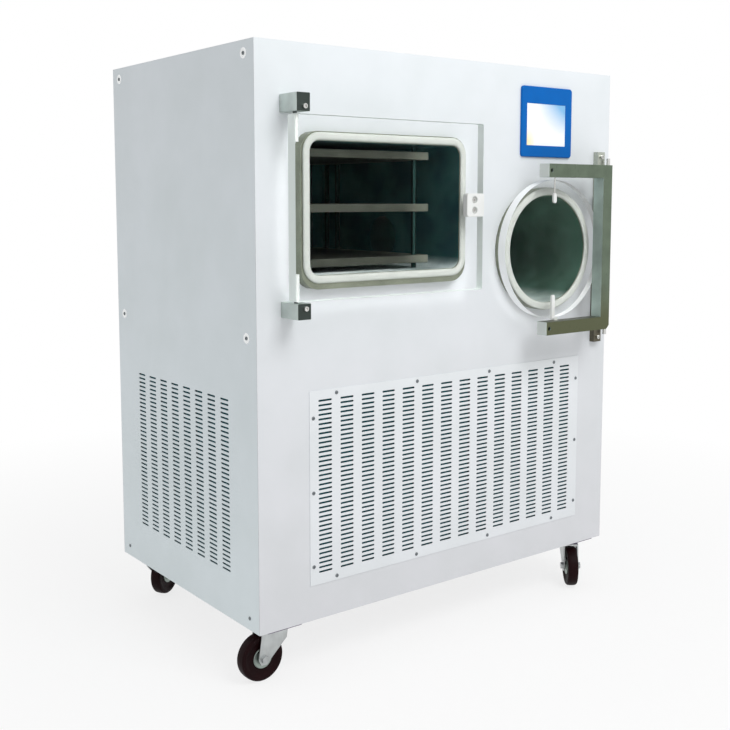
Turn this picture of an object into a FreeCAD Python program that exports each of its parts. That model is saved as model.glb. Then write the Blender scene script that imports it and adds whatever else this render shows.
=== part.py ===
import FreeCAD, Part
import math
import os

# Shelf freeze dryer on casters: a sheet-metal cabinet with a shelf chamber behind a hinged acrylic
# door, a horizontal cold trap behind an acrylic disc that a swinging yoke carries, a touch screen,
# and the refrigeration and shelf-oil plant behind a slotted grille.
#
# Millimetres, +Z up, front towards -Y. The origin is on the floor, under the middle of the
# overall outline. Most pieces are placed in cabinet terms: u runs right from the cabinet's left
# side, out runs forward from its front face, and h runs up from its underside.

Vector = FreeCAD.Vector
ACROSS, BACK, UP = Vector(1, 0, 0), Vector(0, 1, 0), Vector(0, 0, 1)

# Cabinet
WIDTH = 1045.0
DEPTH = 645.0
HEIGHT = 1190.0
SHEET = 2.0
BASE_PLATE = 3.0
RETURN_DEPTH = 15.0
TUBE = 30.0
TUBE_WALL = 2.0

# Slotted areas: columns of short level slots
GRILLE_U = (124.0, 945.0)
GRILLE_H = (76.0, 489.0)
GRILLE_SHEET = 1.5
GRILLE_LAP = 14.0
GRILLE_SLOTS_U = (146.0, 912.0)
GRILLE_COLUMNS = 14
GRILLE_ROWS = 7
SIDE_SLOTS_BACK = (115.0, 538.5)
SIDE_COLUMNS = 8
SIDE_ROWS = 7
SLOTS_H = (100.0, 469.0)
SLOT_LENGTH = 34.5
SLOT_HEIGHT = 4.2

# Chamber: a rounded box whose mouth stands out of the front
CHAMBER_U = (107.0, 506.0)
CHAMBER_H = (730.0, 997.0)
CHAMBER_CORNER = 22.0
CHAMBER_DEEP = 500.0
CHAMBER_WALL = 3.0
COLLAR_U = (87.0, 526.0)
COLLAR_H = (701.0, 1016.0)
COLLAR_CORNER = 40.0
COLLAR_OUT = 24.0
SEAL_GAP = 0.2
SEAL_WIDTH = 16.0
CUT_OUT_GAP = 6.0

# Chamber door and its handle
DOOR_U = (57.0, 556.0)
DOOR_H = (681.0, 1046.0)
DOOR_OUT = (30.0, 55.0)
HANDLE_U = (496.0, 547.0)
HANDLE_H = (843.0, 894.0)
HANDLE_THICK = 14.0
HANDLE_WELL = 7.0
HANDLE_HOLE_U = 519.0
HANDLE_HOLES_H = (857.0, 880.0)

# Shelves
SHELF_U = (118.0, 455.0)
SHELF_OUT = (-470.0, -15.0)
SHELF_THICK = 17.0
SHELF_PITCH = 112.5
SHELF_MIDDLE_H = 863.0
SPACER_INSET = 25.0
SPACER_ACROSS = 10.0
MANIFOLD_U = 482.0
MANIFOLD_R = 6.0
MANIFOLD_BRANCH_R = 5.0
MANIFOLD_OUT = (-400.0, -445.0)
MANIFOLD_TAIL_H = (737.0, 989.0)
MANIFOLD_SPAN_H = ((731.0, 982.0), (745.0, 995.0))

# Door hinge: a steel block above and below the door, each with a pin up or down into its edge
HINGE_BLOCK_U = (57.0, 88.0)
HINGE_BLOCK_OUT = 61.5
HINGE_BLOCK_TOP_H = (1050.0, 1086.0)
HINGE_BLOCK_LOW_H = (646.0, 678.0)
HINGE_SCREW_U = 75.0
HINGE_SCREW_INSET = 10.0
DOOR_PIVOT = (65.0, 42.5)
DOOR_PIN_R = 4.0
DOOR_PIN_HELD = 18.0
DOOR_PIN_REACH = 20.0
BUSH_R = 6.0
BUSH_LONG = 54.0
BUSH_END = 4.0

# Flat sides that stand for small, repeated or hidden round forms
HEAD_SIDES = 6
SMALL_SIDES = 8
EYE_SIDES = 12
PIPE_SIDES = 16
DRUM_SIDES = 20
ROUND_SIDES = 40
CORNER_STEPS = 5

# Fasteners and fits
RUNNING_GAP = 0.05
HOLE_GAP = 0.2
CAP_HEAD_R = 5.0
CAP_HEAD_HIGH = 5.0
PAN_HEAD_R = 4.0
PAN_HEAD_HIGH = 2.0
CUP_R = 11.0
CUP_HIGH = 2.0
CUP_FLOOR = 0.6

# Cold trap
TRAP_U = 795.0
TRAP_H = 763.0
TRAP_R = 127.0
TRAP_WALL = 2.0
TRAP_DEEP = 380.0
TRAP_FLANGE_R = 146.0
TRAP_FLANGE_OUT = 22.0
DISC_R = 164.0
DISC_OUT = (27.0, 50.0)
DUCT_R = 50.0
DUCT_WALL = 2.0
DUCT_H = 790.0
DUCT_OUT = -250.0

# Yoke: a C of square tube that swings on a pin beside the trap
YOKE_TUBE = 31.0
YOKE_WALL = 2.5
YOKE_U = (739.0, 960.5)
YOKE_H = (564.0, 963.0)
YOKE_OUT = (53.0, 83.0)
YOKE_BEVEL = 9.0
YOKE_LUG_H = (612.0, 894.0)
LUG_THICK = 12.0
PIVOT_U = 1016.0
PIVOT_OUT = 24.0
PIVOT_R = 4.5
EYE_R = 9.5
HINGE_BAR_U = (988.0, 1014.0)
HINGE_BAR_H = (521.0, 998.0)
HINGE_BAR_THICK = 14.0
BAR_SCREW_INSET = 12.0
PIVOT_PIN_H = (540.0, 982.0)
FINGER_U = 790.0
FINGER_WIDE = 12.0
FINGER_THICK = 6.0
FINGER_LONG = 60.0

# Touch screen
BEZEL_U = (726.0, 898.0)
BEZEL_H = (981.0, 1146.0)
BEZEL_OUT = 6.0
SCREEN_U = (743.0, 875.0)
SCREEN_H = (1008.0, 1106.0)

# Plant inside the cabinet
CONDENSER_U = (170.0, 560.0)
CONDENSER_H = (60.0, 480.0)
CONDENSER_OUT = (-110.0, -50.0)
FAN_U = 365.0
FAN_H = 270.0
FAN_R = 160.0
FAN_OUT = -160.0
FAN_HUB_R = 42.0
FAN_BLADES = 5
FAN_SHAFT_R = 5.0
DUCT_BACK = -184.0
COMPRESSOR_OUT = -430.0
COMPRESSOR_R = 82.0

# Casters
CASTER_HEIGHT = 118.0
CASTER_INSET_U = 65.0
CASTER_INSET_BACK = 50.0
CASTER_TRAIL = 35.0
WHEEL_R = 50.0
WHEEL_WIDE = 27.0
HUB_R = 22.0
HUB_WIDE = 30.0
AXLE_R = 5.0
FORK_GAP = 32.0
FORK_SHEET = 3.0
CROWN_Z = (104.7, 107.7)

# Vacuum port at the back, with the standard 40 mm flange for a 25 mm bore
PORT_REACH = 40.0
PORT_BORE_R = 12.5
PORT_TUBE_R = 14.0
PORT_FLANGE_R = 20.0

# Mains cable gland at the back
GLAND_U = 120.0
GLAND_H = 90.0
GLAND_R = 12.5

X_LEFT = -WIDTH / 2
Y_FRONT = (YOKE_OUT[1] - PORT_REACH - DEPTH) / 2
Z_BASE = CASTER_HEIGHT


def place(u, out, h):
    """A point given in cabinet terms."""
    return Vector(X_LEFT + u, Y_FRONT - out, Z_BASE + h)


def around(middle, half):
    """The span that reaches half to either side of a middle value."""
    return (middle - half, middle + half)


def grown(span, by):
    """A span made longer at both ends."""
    return (span[0] - by, span[1] + by)


def block(u, out, h):
    """A box from its three spans."""
    return Part.makeBox(u[1] - u[0], out[1] - out[0], h[1] - h[0], place(u[0], out[1], h[0]))


def edges_along(solid, direction):
    """The straight edges of a solid that run along a direction."""
    found = []
    for edge in solid.Edges:
        straight = edge.Curve.TypeId == "Part::GeomLine"
        if straight and abs(edge.tangentAt(edge.FirstParameter).dot(direction)) > 0.999:
            found.append(edge)
    return found


def rounded_block(u, out, h, radius, direction=BACK):
    """A box with the four edges along BACK or UP rounded, in flat steps."""
    along_back = direction == BACK
    across, upward = u, h if along_back else out
    corners = []
    for quarter, (right, top) in enumerate(((1, 1), (0, 1), (0, 0), (1, 0))):
        middle_a = across[right] + (-radius if right else radius)
        middle_b = upward[top] + (-radius if top else radius)
        for step in range(CORNER_STEPS + 1):
            turn = (quarter + step / CORNER_STEPS) * math.pi / 2
            a, b = middle_a + radius * math.cos(turn), middle_b + radius * math.sin(turn)
            corners.append(place(a, out[1], b) if along_back else place(a, b, h[0]))
    length = out[1] - out[0] if along_back else h[1] - h[0]
    return Part.Face(Part.makePolygon(corners + corners[:1])).extrude(direction * length)


def round_bar(start, direction, radius, length):
    return Part.makeCylinder(radius, length, start, direction)


def flat_sided(start, direction, sections, sides):
    """A turned form drawn with flat sides, through sections of (distance along, corner radius)."""
    rings = []
    for along, radius in sections:
        turns = [math.tau * (step + 0.5) / sides for step in range(sides)]
        rings.append([Vector(radius * math.cos(turn), radius * math.sin(turn), along) for turn in turns])
    outlines = [rings[0], rings[-1]]
    for near, far in zip(rings, rings[1:]):
        for step in range(sides):
            following = (step + 1) % sides
            outlines.append([near[step], near[following], far[following], far[step]])
    faces = [Part.Face(Part.makePolygon(outline + outline[:1])) for outline in outlines]
    solid = Part.makeSolid(Part.makeShell(faces))
    solid.Placement = FreeCAD.Placement(start, FreeCAD.Rotation(UP, direction))
    return solid


def flat_bore(start, direction, radius, length, sides):
    """A tool for a flat-sided hole that a round bar of the radius just fits."""
    corner_radius = radius / math.cos(math.pi / sides)
    return flat_sided(start, direction, [(0, corner_radius), (length, corner_radius)], sides)


def hexagon_prism(start, direction, across_flats, length):
    """A six-sided nut, head or post that rises from a start along a direction."""
    return flat_bore(start, direction, across_flats / 2, length, 6)


def fuse(solids):
    """One clean solid from several that meet."""
    return solids[0].multiFuse(solids[1:]).removeSplitter()


def group(solids):
    """Separate solids that share a node."""
    return Part.makeCompound(solids)


def pierced_face(outline, holes):
    """A flat face with holes cut by the inner wires."""
    return Part.makeFace([outline] + holes, "Part::FaceMakerBullseye")


def rectangle(at, a, b):
    """A closed rectangular wire. at(a, b) gives a point in the wire's plane."""
    corners = [at(a[0], b[0]), at(a[1], b[0]), at(a[1], b[1]), at(a[0], b[1])]
    return Part.makePolygon(corners + corners[:1])


def slot_wires(at, a, b, columns, rows):
    """Outlines of level slots in even columns and rows that fill the spans a and b."""
    column_pitch = (a[1] - a[0] - SLOT_LENGTH) / (columns - 1)
    row_pitch = (b[1] - b[0] - SLOT_HEIGHT) / (rows - 1)
    wires = []
    for column in range(columns):
        start = a[0] + column * column_pitch
        for row in range(rows):
            low = b[0] + row * row_pitch
            wires.append(rectangle(at, (start, start + SLOT_LENGTH), (low, low + SLOT_HEIGHT)))
    return wires


# ---------------------------------------------------------------- cabinet


def square_tube(u, out, h):
    """A hollow square tube along the longest of its three spans, open at both ends."""
    spans = [u, out, h]
    lengths = [span[1] - span[0] for span in spans]
    hollow = [grown(span, -TUBE_WALL) for span in spans]
    along = lengths.index(max(lengths))
    hollow[along] = spans[along]
    return block(*spans).cut(block(*hollow))


def frame():
    """Welded square-tube frame: posts, rails, and bearers for the chamber and the trap."""
    left, right = (2 * SHEET, 2 * SHEET + TUBE), (WIDTH - 2 * SHEET - TUBE, WIDTH - 2 * SHEET)
    middle = around(590.0, TUBE / 2)
    front, rear = (-SHEET - TUBE, -SHEET), (SHEET - DEPTH, SHEET - DEPTH + TUBE)
    foot, head = BASE_PLATE, HEIGHT - SHEET
    tubes = []
    for out in (front, rear):
        for post in (left, middle, right):
            tubes.append(square_tube(post, out, (foot, head)))
        for near, far in ((left, middle), (middle, right)):
            for low in (foot, head - TUBE):
                tubes.append(square_tube((near[1], far[0]), out, (low, low + TUBE)))
        chamber_bearer = CHAMBER_H[0] - CHAMBER_WALL - TUBE
        tubes.append(square_tube((left[1], middle[0]), out, (chamber_bearer, chamber_bearer + TUBE)))
        trap_bearer = TRAP_H - TRAP_R - TRAP_WALL - TUBE - 20.0
        tubes.append(square_tube((middle[1], right[0]), out, (trap_bearer, trap_bearer + TUBE)))
    for post in (left, right):
        for low in (foot, head - TUBE):
            tubes.append(square_tube(post, (rear[1], front[0]), (low, low + TUBE)))
    return fuse(tubes)


def base_plate():
    return block(grown((0, WIDTH), -2 * SHEET), (2 * SHEET - DEPTH, -SHEET), (0, BASE_PLATE))


def front_panel():
    """Front sheet with folded returns, cut out behind the two mouths, the screen and the grille."""
    sheet = block((0, WIDTH), (-SHEET, 0), (0, HEIGHT))
    returns = []
    for u in ((SHEET, 2 * SHEET), (WIDTH - 2 * SHEET, WIDTH - SHEET)):
        returns.append(block(u, (-RETURN_DEPTH, 0), (0, HEIGHT - SHEET)))
    panel = fuse([sheet] + returns)
    through = (-SHEET - 1, 1)
    mouth = block(grown(CHAMBER_U, CUT_OUT_GAP), through, grown(CHAMBER_H, CUT_OUT_GAP))
    trap_r = TRAP_FLANGE_R - CUT_OUT_GAP
    trap = flat_bore(place(TRAP_U, 1, TRAP_H), BACK, trap_r, SHEET + 2, ROUND_SIDES)
    screen = block(grown(BEZEL_U, -10), through, grown(BEZEL_H, -10))
    grille = block(grown(GRILLE_U, -GRILLE_LAP), through, grown(GRILLE_H, -GRILLE_LAP))
    for opening in (mouth, trap, screen, grille):
        panel = panel.cut(opening)
    return panel


def side_panel(outer_u, inward):
    """Side sheet with its field of slots, from its outer face's place and its inward direction."""

    def at(back, h):
        return place(outer_u, -back, h)

    outline = rectangle(at, (SHEET, DEPTH - SHEET), (0, HEIGHT - SHEET))
    slots = slot_wires(at, SIDE_SLOTS_BACK, SLOTS_H, SIDE_COLUMNS, SIDE_ROWS)
    return pierced_face(outline, slots).extrude(inward * SHEET)


def top_panel():
    return block((0, WIDTH), (SHEET - DEPTH, -SHEET), (HEIGHT - SHEET, HEIGHT))


def rear_panel():
    sheet = block((0, WIDTH), (-DEPTH, SHEET - DEPTH), (0, HEIGHT))
    through = (SHEET - DEPTH + 1, SHEET + 2)
    port = flat_bore(place(TRAP_U, through[0], TRAP_H), BACK, PORT_TUBE_R + 0.5, through[1], PIPE_SIDES)
    gland = flat_bore(place(GLAND_U, through[0], GLAND_H), BACK, GLAND_R, through[1], PIPE_SIDES)
    return sheet.cut(port).cut(gland)


def front_grille():
    """Screwed-on plate with columns of slots, over the opening in front of the condenser."""

    def at(u, h):
        return place(u, 0, h)

    outline = rectangle(at, GRILLE_U, GRILLE_H)
    slots = slot_wires(at, GRILLE_SLOTS_U, SLOTS_H, GRILLE_COLUMNS, GRILLE_ROWS)
    return pierced_face(outline, slots).extrude(BACK * -GRILLE_SHEET)


def pan_head(seat, direction):
    """Low screw head."""
    return flat_sided(seat, direction, [(0, PAN_HEAD_R), (PAN_HEAD_HIGH, PAN_HEAD_R * 0.6)], HEAD_SIDES)


def grille_screws():
    """Heads of the screws round the grille: four along the top and bottom, three up each side."""
    edge = 9.0
    u_low, u_high = grown(GRILLE_U, -edge)
    h_low, h_high = grown(GRILLE_H, -edge)
    seats = []
    for step in range(4):
        u = 192.0 + step * 221.0
        seats += [(u, h_low), (u, h_high)]
    for step in range(3):
        h = 116.0 + step * 158.0
        seats += [(u_low, h), (u_high, h)]
    return group([pan_head(place(u, GRILLE_SHEET, h), -BACK) for u, h in seats])


def side_fixings():
    """Places and outward directions of the side panels' fixings, low ones and cupped ones."""
    low, cupped = [], []
    for u, direction in ((0, -ACROSS), (WIDTH, ACROSS)):
        for back in (38.5, 609.5):
            low.append((place(u, -back, 25.0), direction))
            for h in (605.0, 1164.0):
                cupped.append((place(u, -back, h), direction))
    return low, cupped


def cup_washers():
    """Moulded cups that the upper side screws sit in."""
    cups = []
    mouth_r = CUP_R - CUP_HIGH - 1.0
    for seat, direction in side_fixings()[1]:
        cup = flat_sided(seat, direction, [(0, CUP_R), (CUP_HIGH, CUP_R - CUP_HIGH)], SMALL_SIDES)
        well = [(CUP_FLOOR, PAN_HEAD_R + 1.0), (CUP_HIGH, mouth_r), (CUP_HIGH + 1, mouth_r)]
        cups.append(cup.cut(flat_sided(seat, direction, well, SMALL_SIDES)))
    return group(cups)


def panel_screws():
    """Heads of the side panels' screws, on the sheet or in their cups."""
    low, cupped = side_fixings()
    heads = [pan_head(seat, direction) for seat, direction in low]
    heads += [pan_head(seat + direction * CUP_FLOOR, direction) for seat, direction in cupped]
    return group(heads)


# ---------------------------------------------------------------- chamber


def chamber():
    """Welded vessel: a rounded box open at the front, with a thick collar round its mouth."""
    collar = rounded_block(COLLAR_U, (0, COLLAR_OUT), COLLAR_H, COLLAR_CORNER)
    box = rounded_block(
        grown(CHAMBER_U, CHAMBER_WALL),
        (-CHAMBER_DEEP - CHAMBER_WALL, 1.0),
        grown(CHAMBER_H, CHAMBER_WALL),
        CHAMBER_CORNER + CHAMBER_WALL,
    )
    hollow = rounded_block(CHAMBER_U, (-CHAMBER_DEEP, COLLAR_OUT + 1), CHAMBER_H, CHAMBER_CORNER)
    vessel = fuse([collar, box]).cut(hollow)
    duct_start = place(CHAMBER_U[1] - 1, DUCT_OUT, DUCT_H)
    vessel = vessel.cut(flat_bore(duct_start, ACROSS, DUCT_R, CHAMBER_WALL + 2, PIPE_SIDES))
    for h in MANIFOLD_TAIL_H:
        start = place(MANIFOLD_U, 1 - CHAMBER_DEEP, h)
        vessel = vessel.cut(flat_bore(start, BACK, MANIFOLD_BRANCH_R, CHAMBER_WALL + 2, SMALL_SIDES))
    return vessel


def chamber_gasket():
    """Silicone ring on the collar's face."""
    span = (COLLAR_OUT, DOOR_OUT[0] - SEAL_GAP)
    rim = 1.0 + SEAL_WIDTH
    ring = rounded_block(grown(CHAMBER_U, rim), span, grown(CHAMBER_H, rim), CHAMBER_CORNER + rim)
    mouth = rounded_block(grown(CHAMBER_U, 1.0), grown(span, 1), grown(CHAMBER_H, 1.0), CHAMBER_CORNER)
    return ring.cut(mouth)


def shelf(level):
    """Hollow-cored plate, one of three; level counts from the middle one."""
    plate = block(SHELF_U, SHELF_OUT, around(SHELF_MIDDLE_H + level * SHELF_PITCH, SHELF_THICK / 2))
    return plate.makeChamfer(5.0, edges_along(plate, UP))


def shelf_spacers():
    """Posts at the corners that hold the shelves apart and off the chamber's floor and roof."""
    levels = [CHAMBER_H[0]]
    for level in (-1, 0, 1):
        levels += around(SHELF_MIDDLE_H + level * SHELF_PITCH, SHELF_THICK / 2)
    levels.append(CHAMBER_H[1])
    posts = []
    for low, high in zip(levels[0::2], levels[1::2]):
        for u in grown(SHELF_U, -SPACER_INSET):
            for out in grown(SHELF_OUT, -SPACER_INSET):
                posts.append(hexagon_prism(place(u, out, low), UP, SPACER_ACROSS, high - low))
    return group(posts)


def oil_manifolds():
    """Supply and return pipes beside the shelves, each with a branch to every shelf."""

    def pipe(start, direction, radius, length):
        return flat_sided(start, direction, [(0, radius), (length, radius)], SMALL_SIDES)

    pipes = []
    for out, tail_h, (low, high) in zip(MANIFOLD_OUT, MANIFOLD_TAIL_H, MANIFOLD_SPAN_H):
        riser = pipe(place(MANIFOLD_U, out, low), UP, MANIFOLD_R, high - low)
        tail = pipe(place(MANIFOLD_U, out, tail_h), BACK, MANIFOLD_BRANCH_R, CHAMBER_DEEP + out + 30)
        pieces = [riser, tail]
        for level in (-1, 0, 1):
            start = place(SHELF_U[1], out, SHELF_MIDDLE_H + level * SHELF_PITCH)
            pieces.append(pipe(start, ACROSS, MANIFOLD_BRANCH_R, MANIFOLD_U - SHELF_U[1]))
        pipes.append(fuse(pieces))
    return group(pipes)


# ---------------------------------------------------------------- door


def bush_body(radius, start_back=0.0):
    """Flat-sided plugs at the door's hinge corners, up from its lower edge and down from its upper one."""
    plugs = []
    for h, direction in ((DOOR_H[0], UP), (DOOR_H[1], -UP)):
        mouth = place(DOOR_PIVOT[0], DOOR_PIVOT[1], h)
        plugs.append(flat_sided(mouth, direction, [(-start_back, radius), (BUSH_LONG, radius)], PIPE_SIDES))
    return plugs


def chamber_door():
    """Clear acrylic slab with eased outer corners and the two bores for its hinge bushes."""
    slab = rounded_block(DOOR_U, DOOR_OUT, DOOR_H, 4.0)
    for bore in bush_body(BUSH_R, start_back=1.0):
        slab = slab.cut(bore)
    return slab


def door_bushes():
    """Nylon sleeves in the door's bores, closed at their inner ends."""
    bore_long = BUSH_LONG - BUSH_END
    mouths = [(DOOR_H[0] - 1, UP), (DOOR_H[1] + 1, -UP)]
    sleeves = []
    for sleeve, (h, direction) in zip(bush_body(BUSH_R - 0.02), mouths):
        mouth = place(DOOR_PIVOT[0], DOOR_PIVOT[1], h)
        bore = flat_bore(mouth, direction, DOOR_PIN_R + RUNNING_GAP, bore_long + 1, PIPE_SIDES)
        sleeves.append(sleeve.cut(bore))
    return group(sleeves)


def hinge_block(h, towards_door):
    """Steel block on the cabinet front, bored for the pivot pin."""
    solid = block(HINGE_BLOCK_U, (0, HINGE_BLOCK_OUT), h)
    solid = solid.makeChamfer(1.0, edges_along(solid, BACK))
    face_h = (h[0] if towards_door < 0 else h[1]) + towards_door
    pin_mouth = place(DOOR_PIVOT[0], DOOR_PIVOT[1], face_h)
    return solid.cut(flat_bore(pin_mouth, UP * -towards_door, DOOR_PIN_R, DOOR_PIN_HELD + 1, PIPE_SIDES))


def door_pins():
    """Steel pins held in the blocks, one up into the door and one down into it."""
    low = (HINGE_BLOCK_LOW_H[1] - DOOR_PIN_HELD, DOOR_H[0] + DOOR_PIN_REACH)
    high = (DOOR_H[1] - DOOR_PIN_REACH, HINGE_BLOCK_TOP_H[0] + DOOR_PIN_HELD)
    pins = []
    for start, end in (low, high):
        pins.append(round_bar(place(DOOR_PIVOT[0], DOOR_PIVOT[1], start), UP, DOOR_PIN_R, end - start))
    return group(pins)


def cap_screw_places():
    """Centres, as u, out and h, of the cap screws' seats on the hinge blocks and the yoke's hinge bar."""
    bar_u = sum(HINGE_BAR_U) / 2
    return [
        (HINGE_SCREW_U, HINGE_BLOCK_OUT, HINGE_BLOCK_TOP_H[0] + HINGE_SCREW_INSET),
        (HINGE_SCREW_U, HINGE_BLOCK_OUT, HINGE_BLOCK_LOW_H[1] - HINGE_SCREW_INSET),
        (bar_u, HINGE_BAR_THICK, HINGE_BAR_H[0] + BAR_SCREW_INSET),
        (bar_u, HINGE_BAR_THICK, HINGE_BAR_H[1] - BAR_SCREW_INSET),
    ]


def socket_head(seat, radius, high, across_flats):
    """Socket-head screw's head, standing forward from its seat."""
    head = flat_sided(seat, -BACK, [(0, radius), (high, radius)], SMALL_SIDES)
    return head.cut(hexagon_prism(seat - BACK * (high * 0.4), -BACK, across_flats, high))


def cap_screws():
    """Heads of the socket screws that hold the door's hinge blocks and the yoke's hinge bar."""
    return group([socket_head(place(*spot), CAP_HEAD_R, CAP_HEAD_HIGH, 5.0) for spot in cap_screw_places()])


def door_handle():
    """Small pull block on the door's free edge, with two counterbores for its screws."""
    span = (DOOR_OUT[1], DOOR_OUT[1] + HANDLE_THICK)
    pull = block(HANDLE_U, span, HANDLE_H)
    pull = pull.makeChamfer(4.0, edges_along(pull, BACK))
    for h in HANDLE_HOLES_H:
        well = flat_bore(place(HANDLE_HOLE_U, span[1] + 1, h), BACK, 7.5, HANDLE_WELL + 1, PIPE_SIDES)
        pull = pull.cut(well)
    return pull


def handle_screws():
    """Heads of the handle's screws, at the bottom of their counterbores."""
    seat = DOOR_OUT[1] + HANDLE_THICK - HANDLE_WELL
    return group([socket_head(place(HANDLE_HOLE_U, seat, h), CAP_HEAD_R, 4.0, 4.0) for h in HANDLE_HOLES_H])


# ---------------------------------------------------------------- cold trap


def trap_round(span, radius, edge=0.0):
    """A round form on the trap's axis, with its two rims cut off by an edge's width."""
    long = span[1] - span[0]
    sections = [(0, radius - edge), (edge, radius), (long - edge, radius), (long, radius - edge)]
    start = place(TRAP_U, span[1], TRAP_H)
    return flat_sided(start, BACK, sections if edge else [sections[0], sections[-1]], ROUND_SIDES)


def trap_vessel():
    """Steel drum on its side, open at the front inside a thick flange."""
    flange = trap_round((0, TRAP_FLANGE_OUT), TRAP_FLANGE_R)
    drum = trap_round((-TRAP_DEEP - TRAP_WALL, 1.0), TRAP_R + TRAP_WALL)
    vessel = fuse([flange, drum]).cut(trap_round((-TRAP_DEEP, TRAP_FLANGE_OUT + 1), TRAP_R))
    side_start = place(TRAP_U - TRAP_R - 40, DUCT_OUT, DUCT_H)
    vessel = vessel.cut(flat_bore(side_start, ACROSS, DUCT_R, 100, PIPE_SIDES))
    back_start = place(TRAP_U, 5 - TRAP_DEEP, TRAP_H)
    return vessel.cut(flat_bore(back_start, BACK, PORT_TUBE_R, 20, PIPE_SIDES))


def trap_gasket():
    """Silicone ring on the trap's flange."""
    span = (TRAP_FLANGE_OUT, DISC_OUT[0] - SEAL_GAP)
    return trap_round(span, TRAP_FLANGE_R - 1.0).cut(trap_round(grown(span, 1.0), TRAP_R + 1.0))


def vapour_duct():
    """Short pipe from the chamber's wall to the trap's, shaped to the drum it meets."""
    start = place(CHAMBER_U[1] + CHAMBER_WALL, DUCT_OUT, DUCT_H)
    length = TRAP_U - CHAMBER_U[1]
    pipe = flat_bore(start, ACROSS, DUCT_R + DUCT_WALL, length, PIPE_SIDES)
    pipe = pipe.cut(flat_bore(start - ACROSS, ACROSS, DUCT_R, length + 2, PIPE_SIDES))
    return pipe.cut(trap_round((-TRAP_DEEP, 0), TRAP_R + TRAP_WALL))


def vacuum_port():
    """Tube from the trap's back to a small flange outside the rear panel."""
    inner_end = TRAP_WALL - TRAP_DEEP
    length = PORT_REACH + DEPTH + inner_end
    rim_thick, taper_long = 3.0, 1.6
    taper_start = length - rim_thick - taper_long
    sections = [
        (0, PORT_TUBE_R),
        (taper_start, PORT_TUBE_R),
        (taper_start + taper_long, PORT_FLANGE_R),
        (length, PORT_FLANGE_R),
    ]
    tube = flat_sided(place(TRAP_U, inner_end, TRAP_H), BACK, sections, PIPE_SIDES)
    return tube.cut(round_bar(place(TRAP_U, inner_end + 1, TRAP_H), BACK, PORT_BORE_R, length + 2))


def trap_disc():
    """Clear acrylic disc with bevelled rims."""
    return trap_round(DISC_OUT, DISC_R, edge=1.5)


# ---------------------------------------------------------------- yoke


def yoke_limbs(inset, bevel):
    """The C's limbs as one solid, inset by a wall for the hollow, which runs out at the arm ends."""
    out = grown(YOKE_OUT, -inset)
    upright_u = grown((YOKE_U[1] - YOKE_TUBE, YOKE_U[1]), -inset)
    low_h = grown((YOKE_H[0], YOKE_H[0] + YOKE_TUBE), -inset)
    high_h = grown((YOKE_H[1] - YOKE_TUBE, YOKE_H[1]), -inset)
    arm_u = (YOKE_U[0] - (1.0 if inset else 0.0), YOKE_U[1] - inset)
    upright = block(upright_u, out, (low_h[0], high_h[1]))
    limbs = fuse([block(arm_u, out, low_h), block(arm_u, out, high_h), upright])
    corner = place(upright_u[1], out[0], low_h[0])
    outer_edges = []
    for edge in edges_along(limbs, BACK):
        spot = edge.Vertexes[0].Point
        if abs(spot.x - corner.x) < 0.1 and abs(spot.z - corner.z) < 0.1:
            outer_edges.append(edge)
    return limbs.makeChamfer(bevel, outer_edges)


def hinge_eye(h):
    """Boss round the pivot pin, one lug thick."""
    return flat_sided(place(PIVOT_U, PIVOT_OUT, h), UP, [(0, EYE_R), (LUG_THICK, EYE_R)], EYE_SIDES)


def yoke_lug(h):
    """Arm from the upright's back to an eye on the pivot pin."""
    half = EYE_R
    corners = [
        place(YOKE_U[1] - 20.0, YOKE_OUT[0], h),
        place(YOKE_U[1] - 20.0, YOKE_OUT[0] - 8.0, h),
        place(PIVOT_U - 0.5 * half, PIVOT_OUT - 0.87 * half, h),
        place(PIVOT_U + 0.5 * half, PIVOT_OUT + 0.87 * half, h),
        place(YOKE_U[1], YOKE_OUT[0] + 6.0, h),
        place(YOKE_U[1], YOKE_OUT[0], h),
    ]
    arm = Part.Face(Part.makePolygon(corners + corners[:1])).extrude(UP * LUG_THICK)
    return [arm, hinge_eye(h)]


def yoke():
    """C of welded tube, beveled at its lower corner, with two lugs that turn on the pivot pin."""
    inner_bevel = YOKE_BEVEL - YOKE_WALL * (2 - math.sqrt(2))
    tube = yoke_limbs(0.0, YOKE_BEVEL).cut(yoke_limbs(YOKE_WALL, inner_bevel))
    lugs = []
    for h in YOKE_LUG_H:
        lugs += yoke_lug(h)
    low, high = YOKE_H
    pin_start = place(PIVOT_U, PIVOT_OUT, low)
    solid = fuse([tube] + lugs).cut(flat_bore(pin_start, UP, PIVOT_R + RUNNING_GAP, high - low, EYE_SIDES))
    for h in (YOKE_H[0] + YOKE_TUBE / 2, YOKE_H[1] - YOKE_TUBE / 2):
        start = place(YOKE_U[0] + 9.0, YOKE_OUT[1] + 1, h)
        solid = solid.cut(flat_bore(start, BACK, 4.5, YOKE_WALL + 2, SMALL_SIDES))
    return solid


def yoke_end_caps():
    """Moulded plugs in the arms' open ends."""
    caps = []
    for low in (YOKE_H[0], YOKE_H[1] - YOKE_TUBE):
        h = (low, low + YOKE_TUBE)
        face = block((YOKE_U[0] - 2.0, YOKE_U[0]), grown(YOKE_OUT, -0.5), grown(h, -0.5))
        inset = -YOKE_WALL - 0.1
        plug = block((YOKE_U[0], YOKE_U[0] + 4.0), grown(YOKE_OUT, inset), grown(h, inset))
        caps.append(fuse([face, plug]))
    return group(caps)


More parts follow.
